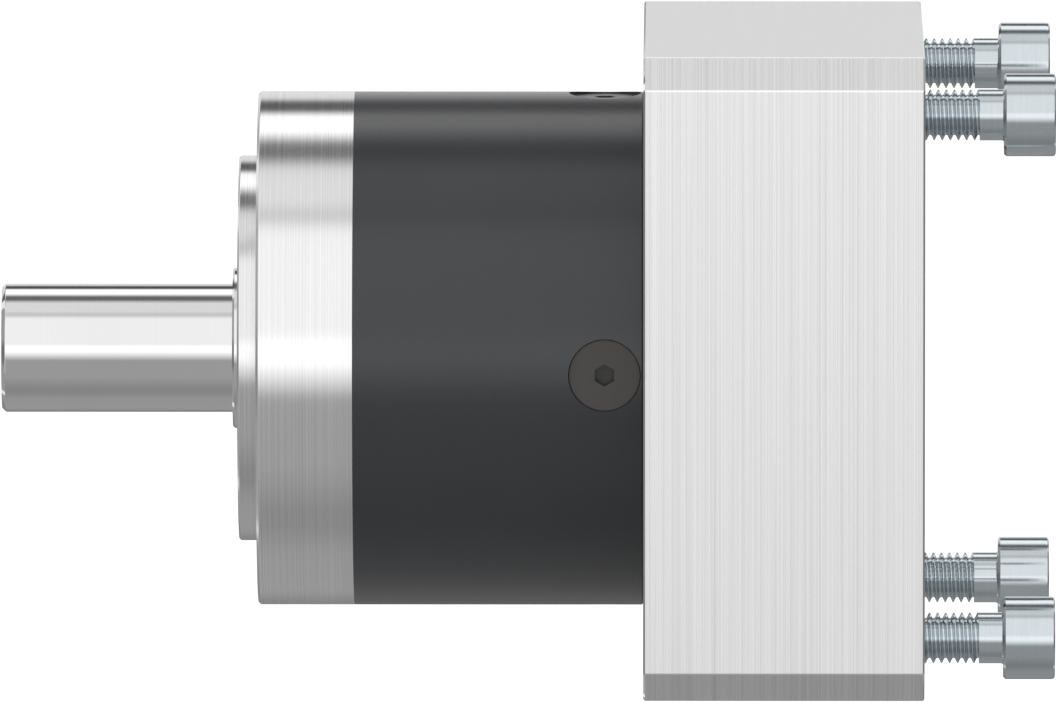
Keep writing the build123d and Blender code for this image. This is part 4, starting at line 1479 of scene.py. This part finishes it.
@dataclass(frozen=True)
class ClampRing:
    """The ring that clamps the hub on the motor's shaft, and its screw."""

    start: float = 83.0
    end: float = 95.0
    inner: float = 15.02
    outer: float = 25.0
    slit: float = 2.0
    screw_z: float = AccessPlug.z
    seat: float = 6.0
    counterbore: float = 5.4
    counterbore_reach: float = 25.0
    hole: float = 3.03
    hole_reach: float = 40.0
    screw: CapScrew = CapScrew(5.0, 6.0, 3.0, 16.0, 5.0)

    def build(self, workshop: Workshop) -> None:
        """Model the ring and the screw, and hand both over."""
        ring = Bench.turned(
            "clamp_ring_body",
            [
                Corner(self.start, self.inner),
                Corner(self.start, self.outer, 0.4),
                Corner(self.end, self.outer, 0.4),
                Corner(self.end, self.inner, 0.3),
            ],
        )
        over = 2
        middle = (self.start + self.end) / 2
        slit_size = Vector((self.end - self.start + over, self.slit, self.outer - self.inner + 2 * over))
        slit_place = Vector((middle, 0, (self.outer + self.inner) / 2))
        Bench.cut(ring, Bench.block("clamp_slit", slit_size, slit_place))
        screw_space = Bench.solid(
            "clamp_screw_space",
            [
                Corner(-self.hole_reach, self.hole),
                Corner(0, self.hole),
                Corner(0, self.counterbore),
                Corner(self.counterbore_reach, self.counterbore),
            ],
        )
        place = Vector((middle, self.seat, self.screw_z))
        Bench.cut(ring, Bench.aim(screw_space, ACROSS, place))
        workshop.hand_over(ring, "sun", FinishName.GEAR_STEEL, "clamp_ring")
        screw = Bench.aim(self.screw.model("clamp_screw_body"), ACROSS, place)
        workshop.hand_over(screw, "sun", FinishName.BLACK_SCREWS, "clamp_screw")


# Studio


@dataclass(frozen=True)
class Card:
    """An evenly lit card round the gearbox axis, from one angle to another: 0 is the front, 90 the top."""

    name: str
    start: float
    end: float
    level: float


@dataclass(frozen=True)
class Studio:
    """The floor, the light, the reflection cards and the camera.

    The camera's aim is in millimetres, everything else in metres.
    """

    camera_x: float = 67.22
    target_x: float = 41.97
    target_z: float = -0.468
    distance: float = 4700.0
    elevation: float = 6.18
    focal_pixels: float = 30143.0
    sensor: float = 36.0
    nearest: float = 0.1
    farthest: float = 30.0
    lamp_size: float = 2.0
    lamp_energy: float = 24.0
    lamp_place: tuple[float, float, float] = (-0.6, -2.0, 2.6)
    floor_z: float = -0.1
    floor_size: float = 40.0
    floor_lift: float = 0.35
    world_level: float = 0.8
    card_radius: float = 5.0
    card_reach: float = 4.5
    cards: tuple[Card, ...] = (
        Card("behind_table", -180.0, -155.0, 0.25),
        Card("table_back", -135.0, -100.0, 0.37),
        Card("table_under_object", -82.0, -72.0, 0.3),
        Card("table_front", -48.0, -16.5, 0.4),
        Card("low_window", -0.5, 8.5, 1.34),
        Card("tall_window", 12.0, 60.0, 1.1),
        Card("window_frame", 67.0, 69.0, 0.68),
        Card("ceiling", 75.0, 94.0, 0.87),
        Card("front_flag", 103.0, 111.0, 0.16),
        Card("rear_light", 121.0, 134.5, 1.35),
        Card("rear_flag", 141.0, 151.0, 0.09),
        Card("backdrop", 159.0, 180.0, 0.78),
    )
    end_card_dark: float = 0.2
    end_card_core: float = 0.65
    end_card_pale: float = 0.38
    end_card_rim: float = 1.2
    end_card_radius: float = 4.4
    end_card_z: float = -0.5

    def build(self) -> None:
        """Set up the whole studio."""
        bpy.context.scene.view_settings.view_transform = "Standard"
        self._world()
        self._floor()
        self._cards()
        self._end_cards()
        self._lamp()
        self._camera()

    @staticmethod
    def _seen(wiring: Wiring) -> bpy.types.NodeSocket:
        """Return 1 for rays that see the background: from the camera, off metal or through glass."""
        path = wiring.add("ShaderNodeLightPath").outputs
        return wiring.maths(
            "MAXIMUM",
            path["Is Camera Ray"],
            wiring.maths("MAXIMUM", path["Is Glossy Ray"], path["Is Transmission Ray"]),
        )

    def _world(self) -> None:
        """Make the world white to look at, and a little softer as a light."""
        world = bpy.data.worlds.new("studio_world")
        bpy.context.scene.world = world
        wiring = Wiring.fresh(world)
        strength = wiring.mapped(self._seen(wiring), 0.0, 1.0, self.world_level, 1.0)
        background = wiring.add("ShaderNodeBackground", {"Color": WHITE, "Strength": strength})
        wiring.add("ShaderNodeOutputWorld", {"Surface": background.outputs[0]})

    def _floor(self) -> None:
        """Lay the pale floor, which keeps the object's shadow."""
        Bench.clear()
        bpy.ops.mesh.primitive_plane_add(size=self.floor_size, location=(0, 0, self.floor_z))
        floor = bpy.context.object
        floor.name = "floor"
        floor.visible_glossy = False
        material = bpy.data.materials.new("pale_floor")
        wiring = Wiring.fresh(material)
        pale = wiring.add("ShaderNodeBsdfDiffuse", {"Color": (0.8, 0.8, 0.8, 1.0)})
        white = wiring.add("ShaderNodeBsdfDiffuse", {"Color": (0.9, 0.9, 0.9, 1.0)})
        lift = wiring.add("ShaderNodeEmission", {"Color": WHITE, "Strength": self.floor_lift})
        shown = wiring.add("ShaderNodeAddShader", {0: white.outputs[0], 1: lift.outputs[0]})
        choice = {0: self._seen(wiring), 1: pale.outputs[0], 2: shown.outputs[0]}
        mix = wiring.add("ShaderNodeMixShader", choice)
        wiring.add("ShaderNodeOutputMaterial", {"Surface": mix.outputs[0]})
        floor.data.materials.append(material)

    @staticmethod
    def _only_reflected(card: bpy.types.Object) -> None:
        """Let a card be seen in reflections only."""
        card.visible_camera = False
        card.visible_diffuse = False
        card.visible_transmission = False
        card.visible_volume_scatter = False
        card.visible_shadow = False

    def _cards(self) -> None:
        """Bend the long reflection cards round the axis, with soft steps of light between them."""
        Bench.clear()
        start = Vector((-self.card_reach, 0, self.card_radius))
        drum = Bench.drawn("reflection_cards", [start, start + AXIS_X * 2 * self.card_reach], closed=False)
        bpy.ops.mesh.spin(steps=TURNED_SEGMENTS, angle=FULL_TURN, center=(0, 0, 0), axis=(1, 0, 0))
        bpy.ops.object.mode_set(mode="OBJECT")
        material = bpy.data.materials.new("card_light")
        wiring = Wiring.fresh(material)
        axes = wiring.add("ShaderNodeSeparateXYZ", {0: wiring.place()}).outputs
        angle = wiring.maths("ARCTAN2", axes[2], wiring.maths("MULTIPLY", axes[1], -1.0))
        share = wiring.mapped(angle, -math.pi, math.pi, 0.0, 1.0)
        ramp = wiring.add("ShaderNodeValToRGB", {0: share})
        stops = ramp.color_ramp.elements
        edges = [(edge, card.level) for card in self.cards for edge in (card.start, card.end)]
        while len(stops) < len(edges):
            stops.new(0.5)
        top = max(level for _, level in edges)
        for stop, (degrees, level) in zip(stops, edges):
            tone = level / top
            stop.position = (degrees + 180) / 360
            stop.color = (tone, tone, tone, 1.0)
        for card in self.cards:
            log.info("%s: %g to %g degrees at %g", card.name, card.start, card.end, card.level)
        light = wiring.add("ShaderNodeEmission", {"Color": ramp.outputs[0], "Strength": top})
        wiring.add("ShaderNodeOutputMaterial", {"Surface": light.outputs[0]})
        drum.data.materials.append(material)
        self._only_reflected(drum)

    def _end_cards(self) -> None:
        """Hang a grey card past each end, darker in the middle, for the end bevels."""
        material = bpy.data.materials.new("end_card_light")
        wiring = Wiring.fresh(material)
        reach = wiring.add("ShaderNodeVectorMath", {0: wiring.place()}, operation="LENGTH").outputs["Value"]
        level = wiring.mapped(
            reach, self.end_card_core, self.end_card_rim, self.end_card_dark, self.end_card_pale
        )
        light = wiring.add("ShaderNodeEmission", {"Color": WHITE, "Strength": level})
        wiring.add("ShaderNodeOutputMaterial", {"Surface": light.outputs[0]})
        for number, side in enumerate((-1, 1), start=1):
            Bench.clear()
            bpy.ops.mesh.primitive_circle_add(
                vertices=SMALL_SEGMENTS,
                radius=self.end_card_radius,
                fill_type="NGON",
                rotation=(0, math.pi / 2, 0),
                location=(side * self.card_radius, 0, self.end_card_z),
            )
            card = bpy.context.object
            card.name = f"end_card_{number}"
            card.data.materials.append(material)
            self._only_reflected(card)

    def _lamp(self) -> None:
        """Hang one large soft lamp above and in front."""
        data = bpy.data.lights.new("soft_lamp", "AREA")
        data.shape = "SQUARE"
        data.size = self.lamp_size
        data.energy = self.lamp_energy
        lamp = bpy.data.objects.new("soft_lamp", data)
        bpy.context.scene.collection.objects.link(lamp)
        lamp.location = self.lamp_place
        lamp.rotation_mode = "QUATERNION"
        lamp.rotation_quaternion = (-Vector(lamp.location)).to_track_quat("-Z", "Y")
        lamp.visible_glossy = False
        lamp.visible_camera = False

    def _camera(self) -> None:
        """Set the camera where the photograph was taken from."""
        data = bpy.data.cameras.new("photo_camera")
        data.sensor_width = self.sensor
        data.lens = self.focal_pixels * self.sensor / PHOTO_WIDTH
        data.clip_start = self.nearest
        data.clip_end = self.farthest
        camera = bpy.data.objects.new("photo_camera", data)
        bpy.context.scene.collection.objects.link(camera)
        bpy.context.scene.camera = camera
        rise = math.radians(self.elevation)
        target = Vector((self.target_x, 0, self.target_z))
        back = Vector((0, -math.cos(rise), math.sin(rise))) * self.distance
        place = target + back + AXIS_X * (self.camera_x - self.target_x)
        camera.location = place * MM
        camera.rotation_mode = "QUATERNION"
        camera.rotation_quaternion = (target - place).to_track_quat("-Z", "Y")


ASSEMBLIES = (
    OutputShaft(),
    OutputFlange(),
    ShaftSeal("output_seal", -2.8, 1, 12.5, 18.98),
    RingGearHousing(),
    RadialScrews(),
    MotorAdapter(),
    ShaftSeal("input_seal", 68.0, -1, 15.0, 20.98),
    CapScrewSet(
        "adapter_screw",
        CapScrew(4.25, 5.0, 2.5, 12.0, 4.0),
        MotorAdapter.screw_circle,
        MotorAdapter.screw_seat,
        FinishName.BLACK_SCREWS,
        "adapter_screws",
    ),
    CapScrewSet(
        "motor_screw",
        CapScrew(
            6.4, 8.0, 3.95, 30.0, 6.0, rim=0.55, plain=3.75, thread=Thread(1.25, 3.94, 3.12),
            fillet=0.35, under_bevel=0.35,
        ),
        MotorAdapter.motor_circle,
        MotorAdapter.motor_screw_seat,
        FinishName.ZINC_SCREWS,
        "motor_screws",
    ),
    AccessPlug(),
    SunShaft(),
    ClampRing(),
)


def main() -> None:
    """Load the frame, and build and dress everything."""
    logging.basicConfig(level=logging.INFO, format="%(name)s: %(message)s")
    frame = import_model()
    workshop = Workshop(frame)
    workshop.dress_frame()
    for assembly in ASSEMBLIES:
        assembly.build(workshop)
    Studio().build()
    log.info("boxes written")


if __name__ == "__main__":
    main()
